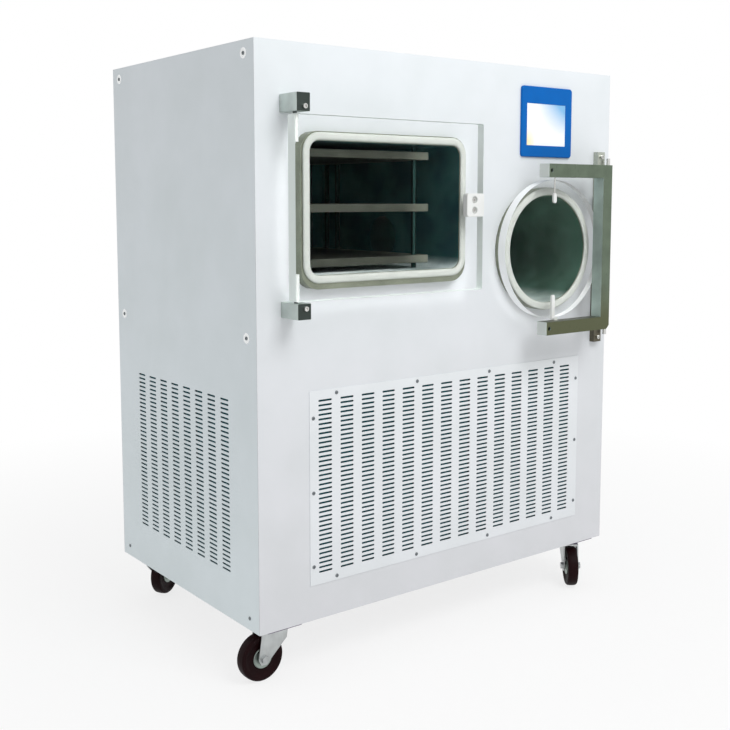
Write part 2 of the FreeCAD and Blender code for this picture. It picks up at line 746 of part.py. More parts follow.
def yoke_fingers():
    """Nylon fingers on the arms that hold the disc by its face."""
    front = DISC_OUT[1] + FINGER_THICK
    u = around(FINGER_U, FINGER_WIDE / 2)
    arm_low, arm_high = YOKE_H[0] + YOKE_TUBE, YOKE_H[1] - YOKE_TUBE
    low_span, low_foot = (arm_low, arm_low + FINGER_LONG), (arm_low, arm_low + 4.0)
    high_span, high_foot = (arm_high - FINGER_LONG, arm_high), (arm_high - 4.0, arm_high)
    fingers = []
    for span, foot_span in ((low_span, low_foot), (high_span, high_foot)):
        strip = block(u, (DISC_OUT[1], front), span)
        foot = block(u, (front, YOKE_OUT[0] + 12.0), foot_span)
        fingers.append(fuse([strip, foot]))
    return group(fingers)


def hinge_bar():
    """Flat bar up the cabinet's right edge, with pairs of eyes for the yoke's lugs."""
    pieces = [block(HINGE_BAR_U, (0, HINGE_BAR_THICK), HINGE_BAR_H)]
    gap = 0.3
    for lug_h in YOKE_LUG_H:
        for low in (lug_h - gap - LUG_THICK, lug_h + LUG_THICK + gap):
            h = (low, low + LUG_THICK)
            pieces.append(hinge_eye(low))
            pieces.append(block((PIVOT_U - EYE_R, PIVOT_U + EYE_R), (HINGE_BAR_THICK - 6.0, PIVOT_OUT), h))
    low, high = HINGE_BAR_H
    pin_hole = flat_bore(place(PIVOT_U, PIVOT_OUT, low), UP, PIVOT_R, high - low, EYE_SIDES)
    return fuse(pieces).cut(pin_hole)


def pivot_pin():
    low, high = PIVOT_PIN_H
    return round_bar(place(PIVOT_U, PIVOT_OUT, low), UP, PIVOT_R, high - low)


# ---------------------------------------------------------------- touch screen


def screen_bezel():
    """Moulded surround with the screen's well, and its body behind the panel."""
    surround = rounded_block(BEZEL_U, (0, BEZEL_OUT), BEZEL_H, 8.0)
    face_y = place(0, BEZEL_OUT, 0).y
    rim = [edge for edge in surround.Edges if edge.BoundBox.YMax < face_y + 0.01]
    surround = surround.makeChamfer(1.5, rim)
    body = block(grown(BEZEL_U, -10.5), (-38.0, 0), grown(BEZEL_H, -10.5))
    well = block(SCREEN_U, (BEZEL_OUT - 4.0, BEZEL_OUT + 1), SCREEN_H)
    return fuse([surround, body]).cut(well)


def screen_glass():
    return block(SCREEN_U, (BEZEL_OUT - 4.0, BEZEL_OUT - 1.0), SCREEN_H)


# ---------------------------------------------------------------- plant inside the cabinet


def condenser():
    """Finned block between two end plates, with the tubes' return bends standing out at one end."""
    fins = block(grown(CONDENSER_U, -3.0), CONDENSER_OUT, grown(CONDENSER_H, -2.0))
    plates = []
    for u in (CONDENSER_U[0], CONDENSER_U[1] - 3.0):
        plates.append(block((u, u + 3.0), grown(CONDENSER_OUT, 4.0), CONDENSER_H))
    bends = []
    for step in range(4):
        h = CONDENSER_H[0] + 60.0 + step * 100.0
        bends.append(block((CONDENSER_U[1], CONDENSER_U[1] + 14.0), around(-80.0, 5.0), around(h, 24.0)))
    return fuse([fins] + plates + bends)


def fan_shroud():
    """Plate behind the condenser with a round duct for the fan."""
    start = CONDENSER_OUT[0] - 4.0
    plate = block(CONDENSER_U, (start - 2.0, start), CONDENSER_H)
    wall = 3.0
    inner_r = FAN_R + 9.0
    duct_start = place(FAN_U, start, FAN_H)
    duct = flat_bore(duct_start, BACK, inner_r + wall, start - DUCT_BACK, DRUM_SIDES)
    return fuse([plate, duct]).cut(flat_bore(place(FAN_U, 0, FAN_H), BACK, inner_r, 300.0, DRUM_SIDES))


def fan_motor():
    """Motor behind the fan on a bar across the duct, its shaft towards the condenser."""
    bar = block(around(FAN_U, FAN_R + 12.0), (DUCT_BACK - 4.0, DUCT_BACK), around(FAN_H, 15.0))
    can_start = place(FAN_U, DUCT_BACK - 4.0, FAN_H)
    can = flat_sided(can_start, BACK, [(0, 48.0), (65.0, 48.0), (75.0, 38.0)], PIPE_SIDES)
    tip = FAN_OUT + 22.0
    shaft = round_bar(place(FAN_U, tip, FAN_H), BACK, FAN_SHAFT_R, tip - DUCT_BACK + 4.0)
    return fuse([bar, can, shaft])


def fan_rotor():
    """Hub with five pitched blades, free on the motor's shaft."""
    centre = place(FAN_U, FAN_OUT, FAN_H)
    half = 14.0
    pieces = [flat_sided(centre, BACK, [(-half, FAN_HUB_R), (half, FAN_HUB_R)], 2 * FAN_BLADES)]
    root = FAN_HUB_R - 6.0
    for step in range(FAN_BLADES):
        blade = Part.makeBox(FAN_R - root, 2.0, 64.0, Vector(root, -1.0, -32.0))
        blade.rotate(Vector(0, 0, 0), ACROSS, 32.0)
        blade.rotate(Vector(0, 0, 0), BACK, 360.0 * step / FAN_BLADES)
        blade.translate(centre)
        pieces.append(blade)
    bore = flat_bore(centre - BACK * 20.0, BACK, FAN_SHAFT_R + RUNNING_GAP, 40.0, SMALL_SIDES)
    return fuse(pieces).cut(bore)


def compressor(u):
    """Hermetic compressor: a domed can with a seam band, on a foot plate."""
    r = COMPRESSOR_R
    seam = ((134.0, r), (134.0, r + 4.0), (142.0, r + 4.0), (142.0, r))
    dome = ((184.0, r), (216.0, r - 18.0), (233.0, r - 52.0))
    foot = block(around(u, 105.0), around(COMPRESSOR_OUT, 75.0), (BASE_PLATE, BASE_PLATE + 12.0))
    base = place(u, COMPRESSOR_OUT, BASE_PLATE + 12.0)
    can = flat_sided(base, UP, ((0, r - 14.0), (14.0, r)) + seam + dome, PIPE_SIDES)
    return fuse([foot, can])


def oil_tank():
    """Heated silicone-oil tank with a lipped lid and filler cap."""
    u, out = (60.0, 260.0), (-600.0, -400.0)
    tank = block(u, out, (BASE_PLATE, 250.0))
    lid = block(grown(u, 8.0), grown(out, 8.0), (250.0, 256.0))
    cap = flat_sided(place(120.0, -460.0, 256.0), UP, [(0, 24.0), (18.0, 24.0)], PIPE_SIDES)
    return fuse([tank, lid, cap])


def oil_pump():
    """Circulation pump on the tank's lid: motor upright over its pump head."""
    sections = [(0, 38.0), (40.0, 38.0), (40.0, 50.0), (150.0, 50.0)]
    return flat_sided(place(200.0, -500.0, 256.0), UP, sections, PIPE_SIDES)


def control_box():
    """Electrical enclosure behind the touch screen."""
    return block((700.0, 930.0), (-230.0, -60.0), (960.0, 1140.0))


def cable_gland():
    """Gland for the mains lead in the rear panel, empty here."""
    outer = place(GLAND_U, -DEPTH, GLAND_H)
    collar = hexagon_prism(outer, BACK, 33.0, 8.0)
    dome = flat_sided(outer, BACK, [(8.0, 15.0), (24.0, 10.0)], SMALL_SIDES)
    neck_r = GLAND_R - HOLE_GAP
    neck = flat_sided(outer, BACK, [(-12.0, neck_r), (0, neck_r)], PIPE_SIDES)
    return fuse([neck, collar, dome]).cut(round_bar(outer - BACK * 13.0, BACK, 7.0, 40.0))


# ---------------------------------------------------------------- casters

CASTER_PLACES = {
    "front_left": (CASTER_INSET_U, CASTER_INSET_BACK, 180.0),
    "front_right": (WIDTH - CASTER_INSET_U, CASTER_INSET_BACK, 232.0),
    "rear_left": (CASTER_INSET_U, DEPTH - CASTER_INSET_BACK, 33.0),
    "rear_right": (WIDTH - CASTER_INSET_U, DEPTH - CASTER_INSET_BACK, 0.0),
}


def caster_plates():
    """Top plates with their upper races and king pins. The pins' lower heads hold the forks."""
    top = CASTER_HEIGHT
    head_top = CROWN_Z[0] - 0.3
    stem = [(101.0, 9.0), (head_top, 9.0), (head_top, 6.0), (top - 5.0, 6.0)]
    race = [(top - 7.0, 26.0), (top - 3.0, 30.0)]
    plates = []
    for u, back, _ in CASTER_PLACES.values():
        axis = Vector(X_LEFT + u, Y_FRONT + back, 0)
        plate = Part.makeBox(90, 90, 4, axis + Vector(-45, -45, top - 4.0))
        plate = plate.makeChamfer(5.0, edges_along(plate, UP))
        stack = [flat_sided(axis, UP, stem, SMALL_SIDES), flat_sided(axis, UP, race, PIPE_SIDES)]
        plates.append(fuse([plate] + stack))
    return group(plates)


def fork():
    """Pressed fork about a swivel axis at the origin, its axle one trail behind, along +X."""
    half = FORK_GAP / 2
    axle = Vector(CASTER_TRAIL, 0, WHEEL_R)
    wide = 2 * half + 2 * FORK_SHEET
    crown = Part.makeBox(64, wide, CROWN_Z[1] - CROWN_Z[0], Vector(-24, -wide / 2, CROWN_Z[0]))
    pieces = [crown]
    for side in (-1, 1):
        start = half if side > 0 else -half - FORK_SHEET
        corners = [
            Vector(-24, start, CROWN_Z[1]),
            Vector(-20, start, 84.0),
            axle + Vector(-14, start, -4.0),
            axle + Vector(-6, start, -13.0),
            axle + Vector(8, start, -12.0),
            axle + Vector(14, start, 0),
            Vector(40, start, CROWN_Z[1]),
        ]
        leg = Part.Face(Part.makePolygon(corners + corners[:1])).extrude(BACK * FORK_SHEET)
        outer = start + FORK_SHEET if side > 0 else start
        pieces += [leg, hexagon_prism(axle + BACK * outer, BACK * side, 15.0, 6.0)]
    pieces.append(round_bar(axle - BACK * (wide / 2), BACK, AXLE_R, wide))
    hole = flat_bore(Vector(0, 0, CROWN_Z[0] - 1), UP, 6.0 + RUNNING_GAP, 20, PIPE_SIDES)
    return fuse(pieces).cut(hole)


def tyre():
    """Moulded tyre and web: crowned tread and dished sides, on the hub."""
    centre = Vector(CASTER_TRAIL, 0, WHEEL_R)
    corner_r = WHEEL_R / math.cos(math.pi / DRUM_SIDES)
    half, web = WHEEL_WIDE / 2, WHEEL_WIDE / 2 - 4.0
    side_r = corner_r - 4.0
    outline = [(-half, side_r), (4.0 - half, corner_r), (half - 4.0, corner_r), (half, side_r)]
    solid = flat_sided(centre, BACK, outline, DRUM_SIDES)
    for side in (-1, 1):
        dish = [(web, HUB_R), (half, side_r - 5.0), (half + 1, side_r - 5.0)]
        solid = solid.cut(flat_sided(centre, BACK * side, dish, DRUM_SIDES))
    return solid.cut(flat_sided(centre, BACK, [(-half, HUB_R), (half, HUB_R)], DRUM_SIDES))


def hub():
    """Bushed metal hub, free on the axle."""
    half = HUB_WIDE / 2
    rim = HUB_R - 0.02
    centre = Vector(CASTER_TRAIL, 0, WHEEL_R)
    bore = flat_bore(centre - BACK * half, BACK, AXLE_R + RUNNING_GAP, HUB_WIDE, SMALL_SIDES)
    return flat_sided(centre, BACK, [(-half, rim), (half, rim)], DRUM_SIDES).cut(bore)


def casters():
    """Fork, hub and tyre of each caster, turned to the way it trails."""
    made = {}
    for corner, (u, back, angle) in CASTER_PLACES.items():
        spot = FreeCAD.Placement(Vector(X_LEFT + u, Y_FRONT + back, 0), FreeCAD.Rotation(UP, angle))
        for kind, build in (("fork", fork), ("hub", hub), ("tyre", tyre)):
            solid = build()
            solid.Placement = spot
            made["caster_" + corner + "_" + kind] = solid
    return made


def all_parts():
    parts = {
        "frame": frame(),
        "base_plate": base_plate(),
        "front_panel": front_panel(),
        "left_panel": side_panel(0.0, ACROSS),
        "right_panel": side_panel(WIDTH, -ACROSS),
        "top_panel": top_panel(),
        "rear_panel": rear_panel(),
        "front_grille": front_grille(),
        "grille_screws": grille_screws(),
        "panel_screws": panel_screws(),
        "cup_washers": cup_washers(),
        "chamber": chamber(),
        "chamber_gasket": chamber_gasket(),
        "shelf_top": shelf(1),
        "shelf_middle": shelf(0),
        "shelf_bottom": shelf(-1),
        "shelf_spacers": shelf_spacers(),
        "oil_manifolds": oil_manifolds(),
        "door_hinge_blocks": group([hinge_block(HINGE_BLOCK_TOP_H, -1), hinge_block(HINGE_BLOCK_LOW_H, 1)]),
        "door_pins": door_pins(),
        "cap_screws": cap_screws(),
        "chamber_door": chamber_door(),
        "door_bushes": door_bushes(),
        "door_handle": door_handle(),
        "handle_screws": handle_screws(),
        "trap_vessel": trap_vessel(),
        "trap_gasket": trap_gasket(),
        "trap_disc": trap_disc(),
        "vapour_duct": vapour_duct(),
        "vacuum_port": vacuum_port(),
        "yoke": yoke(),
        "yoke_end_caps": yoke_end_caps(),
        "yoke_fingers": yoke_fingers(),
        "yoke_hinge_bar": hinge_bar(),
        "yoke_pivot_pin": pivot_pin(),
        "screen_bezel": screen_bezel(),
        "screen_glass": screen_glass(),
        "control_box": control_box(),
        "compressor_left": compressor(480.0),
        "compressor_right": compressor(730.0),
        "condenser": condenser(),
        "fan_shroud": fan_shroud(),
        "fan_motor": fan_motor(),
        "fan_rotor": fan_rotor(),
        "oil_tank": oil_tank(),
        "oil_pump": oil_pump(),
        "cable_gland": cable_gland(),
        "caster_plates": caster_plates(),
    }
    parts.update(casters())
    return parts


os.makedirs("parts", exist_ok=True)
for name, shape in all_parts().items():
    shape.exportStep("parts/" + name + ".step")
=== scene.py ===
"""Looks for the shelf freeze dryer: materials, detailed pieces, light and camera round the frame.

Places are given in cabinet terms, as in the CAD source: u from the left side, out from the front
face and h from the underside. Lengths are in millimetres, and the functions at and terms convert.
"""

import math

import bmesh
import bpy
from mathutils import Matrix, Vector

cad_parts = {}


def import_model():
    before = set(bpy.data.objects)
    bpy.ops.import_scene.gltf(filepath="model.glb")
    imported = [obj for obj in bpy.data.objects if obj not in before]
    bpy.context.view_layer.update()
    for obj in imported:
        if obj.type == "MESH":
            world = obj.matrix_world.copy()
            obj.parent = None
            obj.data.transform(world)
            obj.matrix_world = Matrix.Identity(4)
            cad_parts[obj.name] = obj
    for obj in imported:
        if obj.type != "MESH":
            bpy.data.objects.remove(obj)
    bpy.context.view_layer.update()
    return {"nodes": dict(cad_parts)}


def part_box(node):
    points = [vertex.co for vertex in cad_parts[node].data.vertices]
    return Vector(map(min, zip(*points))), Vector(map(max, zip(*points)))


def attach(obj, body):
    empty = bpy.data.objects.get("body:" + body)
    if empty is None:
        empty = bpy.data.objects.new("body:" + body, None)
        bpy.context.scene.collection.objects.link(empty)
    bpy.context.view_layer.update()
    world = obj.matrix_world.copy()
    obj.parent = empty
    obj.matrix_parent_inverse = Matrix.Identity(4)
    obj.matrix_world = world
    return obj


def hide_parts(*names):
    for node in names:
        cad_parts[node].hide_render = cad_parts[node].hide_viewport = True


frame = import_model()
scene = bpy.context.scene

MM = 0.001
RIGHT, BACK, UP = Vector((1, 0, 0)), Vector((0, 1, 0)), Vector((0, 0, 1))
CABINET_LOW, CABINET_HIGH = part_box("front_panel")


def at(u, out, h):
    """A point given in cabinet terms."""
    return Vector((CABINET_LOW.x + u * MM, CABINET_LOW.y - out * MM, CABINET_LOW.z + h * MM))


def terms(point):
    """The cabinet terms (u, out, h) of a point."""
    return (
        (point.x - CABINET_LOW.x) / MM,
        (CABINET_LOW.y - point.y) / MM,
        (point.z - CABINET_LOW.z) / MM,
    )


def spans(node):
    """A node's spans in u, out and h."""
    low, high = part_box(node)
    (u0, out1, h0), (u1, out0, h1) = terms(low), terms(high)
    return (u0, u1), (out0, out1), (h0, h1)


def middle(span):
    return (span[0] + span[1]) / 2


# ---------------------------------------------------------------- materials

# The Mix node's sockets for colours, which share their names with others.
MIX_FACTOR, MIX_FIRST, MIX_SECOND, MIX_RESULT = 0, 6, 7, 2

# Noise hardly leaves this range, so it is spread from here.
NOISE_LOW, NOISE_HIGH = 0.3, 0.7

# How much finer a drawn grain is across its axis.
GRAIN_STRETCH = {"X": (1, 18, 18), "Y": (18, 1, 18), "Z": (18, 18, 1)}

# Height over a vessel's floor where the painted reflection on the floor ends, and where it is
# full.
PAINTED_REFLECTION_TOP, PAINTED_REFLECTION_FULL = 24.0, 2.0

ACRYLIC_IOR = 1.2
ACRYLIC_SHADOW = (0.86, 0.86, 0.86, 1.0)


def srgb(red, green, blue):
    """A colour as it is seen on a screen, 0 to 255, made linear."""

    def linear(value):
        value /= 255
        return value / 12.92 if value <= 0.04045 else ((value + 0.055) / 1.055) ** 2.4

    return (linear(red), linear(green), linear(blue), 1.0)


def tinted(color, factor):
    """A linear colour, lighter or darker by a factor."""
    return tuple(min(channel * factor, 1.0) for channel in color[:3]) + (1.0,)


class Look:
    """A procedural material, with short calls for the nodes that vary it."""

    def __init__(self, name, color, roughness, metallic=0.0, **sockets):
        self.material = bpy.data.materials.new(name)
        self.material.use_nodes = True
        tree = self.material.node_tree
        self.nodes, self.links = tree.nodes, tree.links
        self.shader = self.nodes["Principled BSDF"]
        self.output = self.nodes["Material Output"]
        self.shader.inputs["Base Color"].default_value = color
        self.shader.inputs["Roughness"].default_value = roughness
        self.shader.inputs["Metallic"].default_value = metallic
        for socket, value in sockets.items():
            self.shader.inputs[socket.replace("_", " ")].default_value = value
        self.position = self.nodes.new("ShaderNodeTexCoord").outputs["Object"]

    def node(self, kind, inputs, **settings):
        """A new node. inputs maps its sockets to sockets to link or to values to set."""
        made = self.nodes.new(kind)
        for name, value in settings.items():
            setattr(made, name, value)
        for socket, value in inputs.items():
            if isinstance(value, bpy.types.NodeSocket):
                self.links.new(value, made.inputs[socket])
            else:
                made.inputs[socket].default_value = value
        return made

    def noise(self, scale, detail=3.0, stretch=(1, 1, 1)):
        """Noise, 0 to 1, about scale bumps a metre, finer along an axis that is stretched more."""
        vector = self.node(
            "ShaderNodeVectorMath", {0: self.position, 1: stretch}, operation="MULTIPLY"
        )
        inputs = {"Vector": vector.outputs[0], "Scale": scale, "Detail": detail}
        return self.node("ShaderNodeTexNoise", inputs).outputs["Fac"]

    def patches(self, scale, low=NOISE_LOW, high=NOISE_HIGH, detail=3.0):
        """Noise spread over 0 to 1, with clearer patches the closer low and high are."""
        return self.span(self.noise(scale, detail), low, high, 0.0, 1.0)

    def along(self, axis, start, end):
        """0 at start and 1 at end, along an axis, in metres."""
        split = self.node("ShaderNodeSeparateXYZ", {0: self.position})
        return self.span(split.outputs[axis], start, end, 0.0, 1.0)

    def span(self, value, from_low, from_high, to_low, to_high):
        """A value moved from one range to another, and held inside it."""
        inputs = {
            "Value": value,
            "From Min": from_low,
            "From Max": from_high,
            "To Min": to_low,
            "To Max": to_high,
        }
        return self.node("ShaderNodeMapRange", inputs).outputs[0]

    def mix(self, factor, first, second, **settings):
        inputs = {MIX_FACTOR: factor, MIX_FIRST: first, MIX_SECOND: second}
        made = self.node("ShaderNodeMix", inputs, data_type="RGBA", **settings)
        return made.outputs[MIX_RESULT]

    def multiply(self, first, second):
        return self.node("ShaderNodeMath", {0: first, 1: second}, operation="MULTIPLY").outputs[0]

    def color(self, source):
        self.links.new(source, self.shader.inputs["Base Color"])

    def roughness(self, noise, low, high):
        spread = self.span(noise, NOISE_LOW, NOISE_HIGH, low, high)
        self.links.new(spread, self.shader.inputs["Roughness"])

    def bump(self, height, strength, distance):
        inputs = {"Height": height, "Strength": strength, "Distance": distance}
        made = self.node("ShaderNodeBump", inputs)
        self.links.new(made.outputs[0], self.shader.inputs["Normal"])

    def over(self, factor, shader, under=None):
        """Puts another shader over the surface by a factor."""
        under = under or self.shader.outputs[0]
        mixed = self.node("ShaderNodeMixShader", {0: factor, 1: under, 2: shader})
        self.links.new(mixed.outputs[0], self.output.inputs["Surface"])


def paint(name, top, bottom):
    """Powder coat: fine orange peel and faint clouding, with painted shading from bottom to top.
    """
    look = Look(name, top, 0.42, IOR=1.45)
    # Painted shading: the colour runs from the bottom colour to the top one with height.
    height = look.along("Z", CABINET_LOW.z, CABINET_HIGH.z)
    clouds = look.mix(look.patches(7.0), srgb(250, 250, 250), srgb(243, 244, 243))
    look.color(look.mix(1.0, look.mix(height, bottom, top), clouds, blend_type="MULTIPLY"))
    look.roughness(look.noise(40.0), 0.38, 0.48)
    look.bump(look.noise(700.0, detail=2.0), 0.08, 0.0004)
    return look


def steel(name, color, roughness=0.34, grain="Z", blotches=0.14, metallic=1.0, drawn=0.12):
    """Stainless steel with a drawn grain along an axis and a mottled tone."""
    look = Look(name, color, roughness, metallic=metallic)
    lines = look.noise(34.0, detail=5.0, stretch=GRAIN_STRETCH[grain])
    mottle = look.patches(26.0, 0.28, 0.72, detail=4.0)
    look.color(look.mix(mottle, tinted(color, 1 - blotches), tinted(color, 1 + blotches)))
    look.roughness(lines, roughness - 0.08, roughness + 0.1)
    if drawn:
        look.bump(lines, drawn, 0.0003)
    return look


def shaded_steel(name, color, other, axis, start, end, **steel_values):
    """Steel with painted shading: it turns to another tone along an axis, from start to end, in
    metres.
    """
    look = steel(name, color, **steel_values)
    plain = look.shader.inputs["Base Color"].links[0].from_socket
    look.color(look.mix(look.along(axis, start, end), plain, other))
    return look


def vessel_look(name, inside, mottle_tone, floor_h):
    """The inside of a vessel: steel darkened to teal as painted shade, in patches of two tones,
    with a painted reflection across the floor.
    """
    look = steel(name, inside, grain="X", metallic=0.6, drawn=0.0)
    look.shader.inputs["Specular IOR Level"].default_value = 0.05
    patches = look.patches(11.0, 0.38, 0.62, detail=5.0)
    # Painted reflection: a pale strip low on the floor, in patches, which is less metallic.
    low = look.along("Z", at(0, 0, floor_h + PAINTED_REFLECTION_TOP).z, at(0, 0, floor_h + PAINTED_REFLECTION_FULL).z)
    painted_light = look.multiply(low, look.span(patches, 0.0, 1.0, 0.45, 1.0))
    look.color(look.mix(painted_light, look.mix(patches, inside, mottle_tone), srgb(230, 240, 238)))
    look.links.new(look.span(painted_light, 0.0, 1.0, 0.6, 0.0), look.shader.inputs["Metallic"])
    return look


def moulded(name, color, roughness, grain=0.06, shift=0.06, **sockets):
    """Moulded plastic or rubber with a fine skin and a slight change of tone."""
    look = Look(name, color, roughness, **sockets)
    look.color(look.mix(look.patches(30.0), tinted(color, 1 - shift), color))
    look.roughness(look.noise(60.0), roughness - 0.05, roughness + 0.07)
    look.bump(look.noise(900.0, detail=2.0), grain, 0.0002)
    return look


def clear(name, painted_light=0.0, white=srgb(238, 246, 243)):
    """Clear acrylic with hardly a reflection, which lets shadows through.

    The share given is painted a diffuse white, painted light for the glow of the clear edges, and
    white is its colour there.
    """
    tint = (0.02, 0.03, 0.03, 1.0)
    look = Look(name, (0.985, 0.99, 0.988, 1.0), 0.02, IOR=ACRYLIC_IOR, Specular_Tint=tint)
    look.shader.inputs["Transmission Weight"].default_value = 1.0
    look.roughness(look.noise(20.0), 0.0, 0.02)
    surface = look.shader.outputs[0]
    if painted_light:
        edge_glow = look.node("ShaderNodeBsdfDiffuse", {"Color": white}).outputs[0]
        surface = look.node("ShaderNodeMixShader", {0: painted_light, 1: surface, 2: edge_glow}).outputs[0]
    ray = look.node("ShaderNodeLightPath", {})
    passing = look.node("ShaderNodeBsdfTransparent", {"Color": ACRYLIC_SHADOW})
    look.over(ray.outputs["Is Shadow Ray"], passing.outputs[0], surface)
    return look


def screen_look(name):
    """Lit display: white, with a blue cast at its upper right and a warm one at its lower left."""
    look = Look(name, srgb(250, 252, 255), 0.3, Specular_IOR_Level=0.1)
    (u0, u1), _, (h0, h1) = spans("screen_glass")
    low, high = at(u0, 0, h0), at(u1, 0, h1)
    rightward, upward = look.along("X", low.x, high.x), look.along("Z", low.z, high.z)
    blue = look.span(look.multiply(rightward, upward), 0.22, 0.8, 0.0, 1.0)
    left = look.span(rightward, 0.0, 0.24, 1.0, 0.0)
    lower = look.span(upward, 0.1, 0.45, 1.0, 0.0)
    cool = look.mix(blue, srgb(250, 251, 253), srgb(132, 186, 228))
    tone = look.mix(look.multiply(left, lower), cool, srgb(252, 236, 180))
    look.color(tone)
    look.links.new(tone, look.shader.inputs["Emission Color"])
    look.shader.inputs["Emission Strength"].default_value = 0.12
    return look


looks = {
    # Coated sheet and tube. The three coats are one white powder coat, copied lighter and darker
    # for the front, the sides and the grille as light falls on them.
    "paint": paint("powder_coat_painted_shading", srgb(243, 248, 252), srgb(228, 229, 233)),
    "side_paint": paint("side_coat_painted_shading", srgb(236, 243, 248), srgb(240, 250, 254)),
    "grille": paint("grille_coat_painted_shading", srgb(244, 248, 250), srgb(240, 243, 247)),
    # Painted shade: the side panels' inner faces and the frame are dark teal for the shade behind
    # the slots.
    "panel_inner_shade": moulded("panel_inner_shade", srgb(36, 70, 76), 0.6, Specular_IOR_Level=0.2),
    "frame": moulded("frame_coat_painted_shade", srgb(36, 66, 76), 0.6, Specular_IOR_Level=0.2),
    # Steel of the yoke, the hinges and the fasteners.
    # Painted shade: the yoke darkens towards its lower arm; its sides get a lighter copy, a
    # painted reflection.
    "yoke": shaded_steel(
        "yoke_steel",
        (0.145, 0.185, 0.136, 1.0),
        (0.115, 0.125, 0.072, 1.0),
        "Z",
        at(0, 0, 680).z,
        at(0, 0, 590).z,
    ),
    # Painted shading: the hinge bar is dark at its foot and lit grey at its top.
    "bar": shaded_steel(
        "bar_steel_painted_shade",
        (0.13, 0.12, 0.09, 1.0),
        (0.46, 0.49, 0.43, 1.0),
        "Z",
        at(0, 0, 540).z,
        at(0, 0, 980).z,
    ),
    "yoke_side_painted_reflection": steel("yoke_side_painted_reflection", (0.47, 0.58, 0.53, 1.0), roughness=0.5, metallic=0.4),
    # The hinge blocks are one steel in two copies: light on their sides as painted light, dark on
    # their fronts as painted shade.
    "block": steel(
        "block_steel_painted_light", (0.54, 0.60, 0.57, 1.0), roughness=0.4, grain="X", metallic=0.8
    ),
    "block_front_painted_shade": steel("block_front_painted_shade", (0.055, 0.068, 0.062, 1.0), grain="X"),
    "bright": steel("bright_steel", (0.62, 0.62, 0.60, 1.0), roughness=0.22, blotches=0.08),
    "dark_steel": steel("dark_steel", (0.09, 0.10, 0.10, 1.0), roughness=0.4),
    # The vessels and what is in them.
    # Painted light: the shelves turn from dark to lit grey towards their right ends.
    "shelf": shaded_steel(
        "shelf_plate_painted_light",
        (0.075, 0.082, 0.066, 1.0),
        srgb(150, 154, 140),
        "X",
        at(380, 0, 0).x,
        at(470, 0, 0).x,
        roughness=0.46,
        grain="X",
        drawn=0.0,
    ),
    "duct": steel("duct_steel", (0.07, 0.15, 0.15, 1.0), roughness=0.42, grain="X"),
    "post": steel("shelf_post", (0.022, 0.055, 0.05, 1.0), roughness=0.5),
    # Painted shade: the vessels' insides are steel darkened to teal; the collar is a lighter copy
    # of it.
    "chamber": vessel_look(
        "chamber_steel_painted_shade", (0.028, 0.115, 0.132, 1.0), (0.065, 0.22, 0.21, 1.0), floor_h=730.0
    ),
    "trap": vessel_look(
        "trap_steel_painted_shade", (0.085, 0.18, 0.135, 1.0), (0.155, 0.31, 0.235, 1.0), floor_h=636.0
    ),
    "collar": steel("collar_steel", (0.23, 0.25, 0.19, 1.0), grain="X", metallic=0.6, drawn=0.0),
    # Clear, moulded and soft pieces.
    "acrylic": clear("acrylic"),
    # Painted light: the acrylic's edges are white for the glow they gather, and the disc's rim is
    # whitest.
    "edge_glow": clear("acrylic_edge_glow", painted_light=0.9),
    "rim_glow": clear("rim_acrylic_glow", painted_light=1.0, white=srgb(252, 254, 255)),
    "silicone": moulded("silicone", srgb(199, 203, 197), 0.5, Specular_IOR_Level=0.25),
    "nylon": moulded("white_nylon", srgb(240, 242, 240), 0.4),
    "cup": moulded("cup_nylon", srgb(250, 252, 252), 0.3, metallic=0.6),
    "plug": moulded("tube_plug", srgb(206, 212, 208), 0.45),
    "dark": moulded("dark_screw", srgb(118, 124, 128), 0.45),
    "black": moulded("black_plastic", srgb(26, 27, 29), 0.5, Specular_IOR_Level=0.2),
    "blue": moulded("bezel_blue", srgb(4, 104, 190), 0.5, Specular_IOR_Level=0.12),
    "screen": screen_look("display"),
    # Painted shade: the filters' teal stands in for the shade seen through the slots.
    "filter": moulded(
        "filter_fleece_painted_shade", srgb(62, 128, 138), 0.8, grain=0.3, shift=0.2, Specular_IOR_Level=0.1
    ),
    # Plant and casters.
    # The plant's own dark colour, turned teal as painted shade behind the slots.
    "plant": moulded("plant_black", srgb(22, 44, 50), 0.5, Specular_IOR_Level=0.2),
    "fins": steel("fins", (0.15, 0.32, 0.40, 1.0), roughness=0.5, metallic=0.6),
    "zinc": steel("zinc_plate", (0.50, 0.52, 0.52, 1.0), roughness=0.4, blotches=0.2),
    "plum": steel("caster_plate", (0.16, 0.13, 0.19, 1.0), roughness=0.4),
    "hub": steel("hub_metal", (0.31, 0.36, 0.33, 1.0), roughness=0.42),
    "tyre": moulded(
        "tyre_rubber", srgb(32, 11, 13), 0.5, grain=0.15, shift=0.4, Specular_IOR_Level=0.08
    ),
}


# ---------------------------------------------------------------- mesh helpers


def bridge(bm, near, far):
    """Quads between two loops of vertices with the same count."""
    count = len(near)
    for step in range(count):
        following = (step + 1) % count
        bm.faces.new((near[step], near[following], far[following], far[step]))


def add_loops(bm, loops, ring=False):
    """Skins a row of loops of points.

    A ring joins the last loop to the first, and a bar gets its two ends.
    """
    rows = [[bm.verts.new(point) for point in loop] for loop in loops]
    for near, far in zip(rows, rows[1:]):
        bridge(bm, near, far)
    if ring:
        bridge(bm, rows[-1], rows[0])
    else:
        bm.faces.new(list(reversed(rows[0])))
        bm.faces.new(rows[-1])


def crosswise(axis):
    """Two unit vectors across an axis."""
    first = axis.cross(UP if abs(axis.z) < 0.9 else RIGHT).normalized()
    return first, axis.cross(first).normalized()


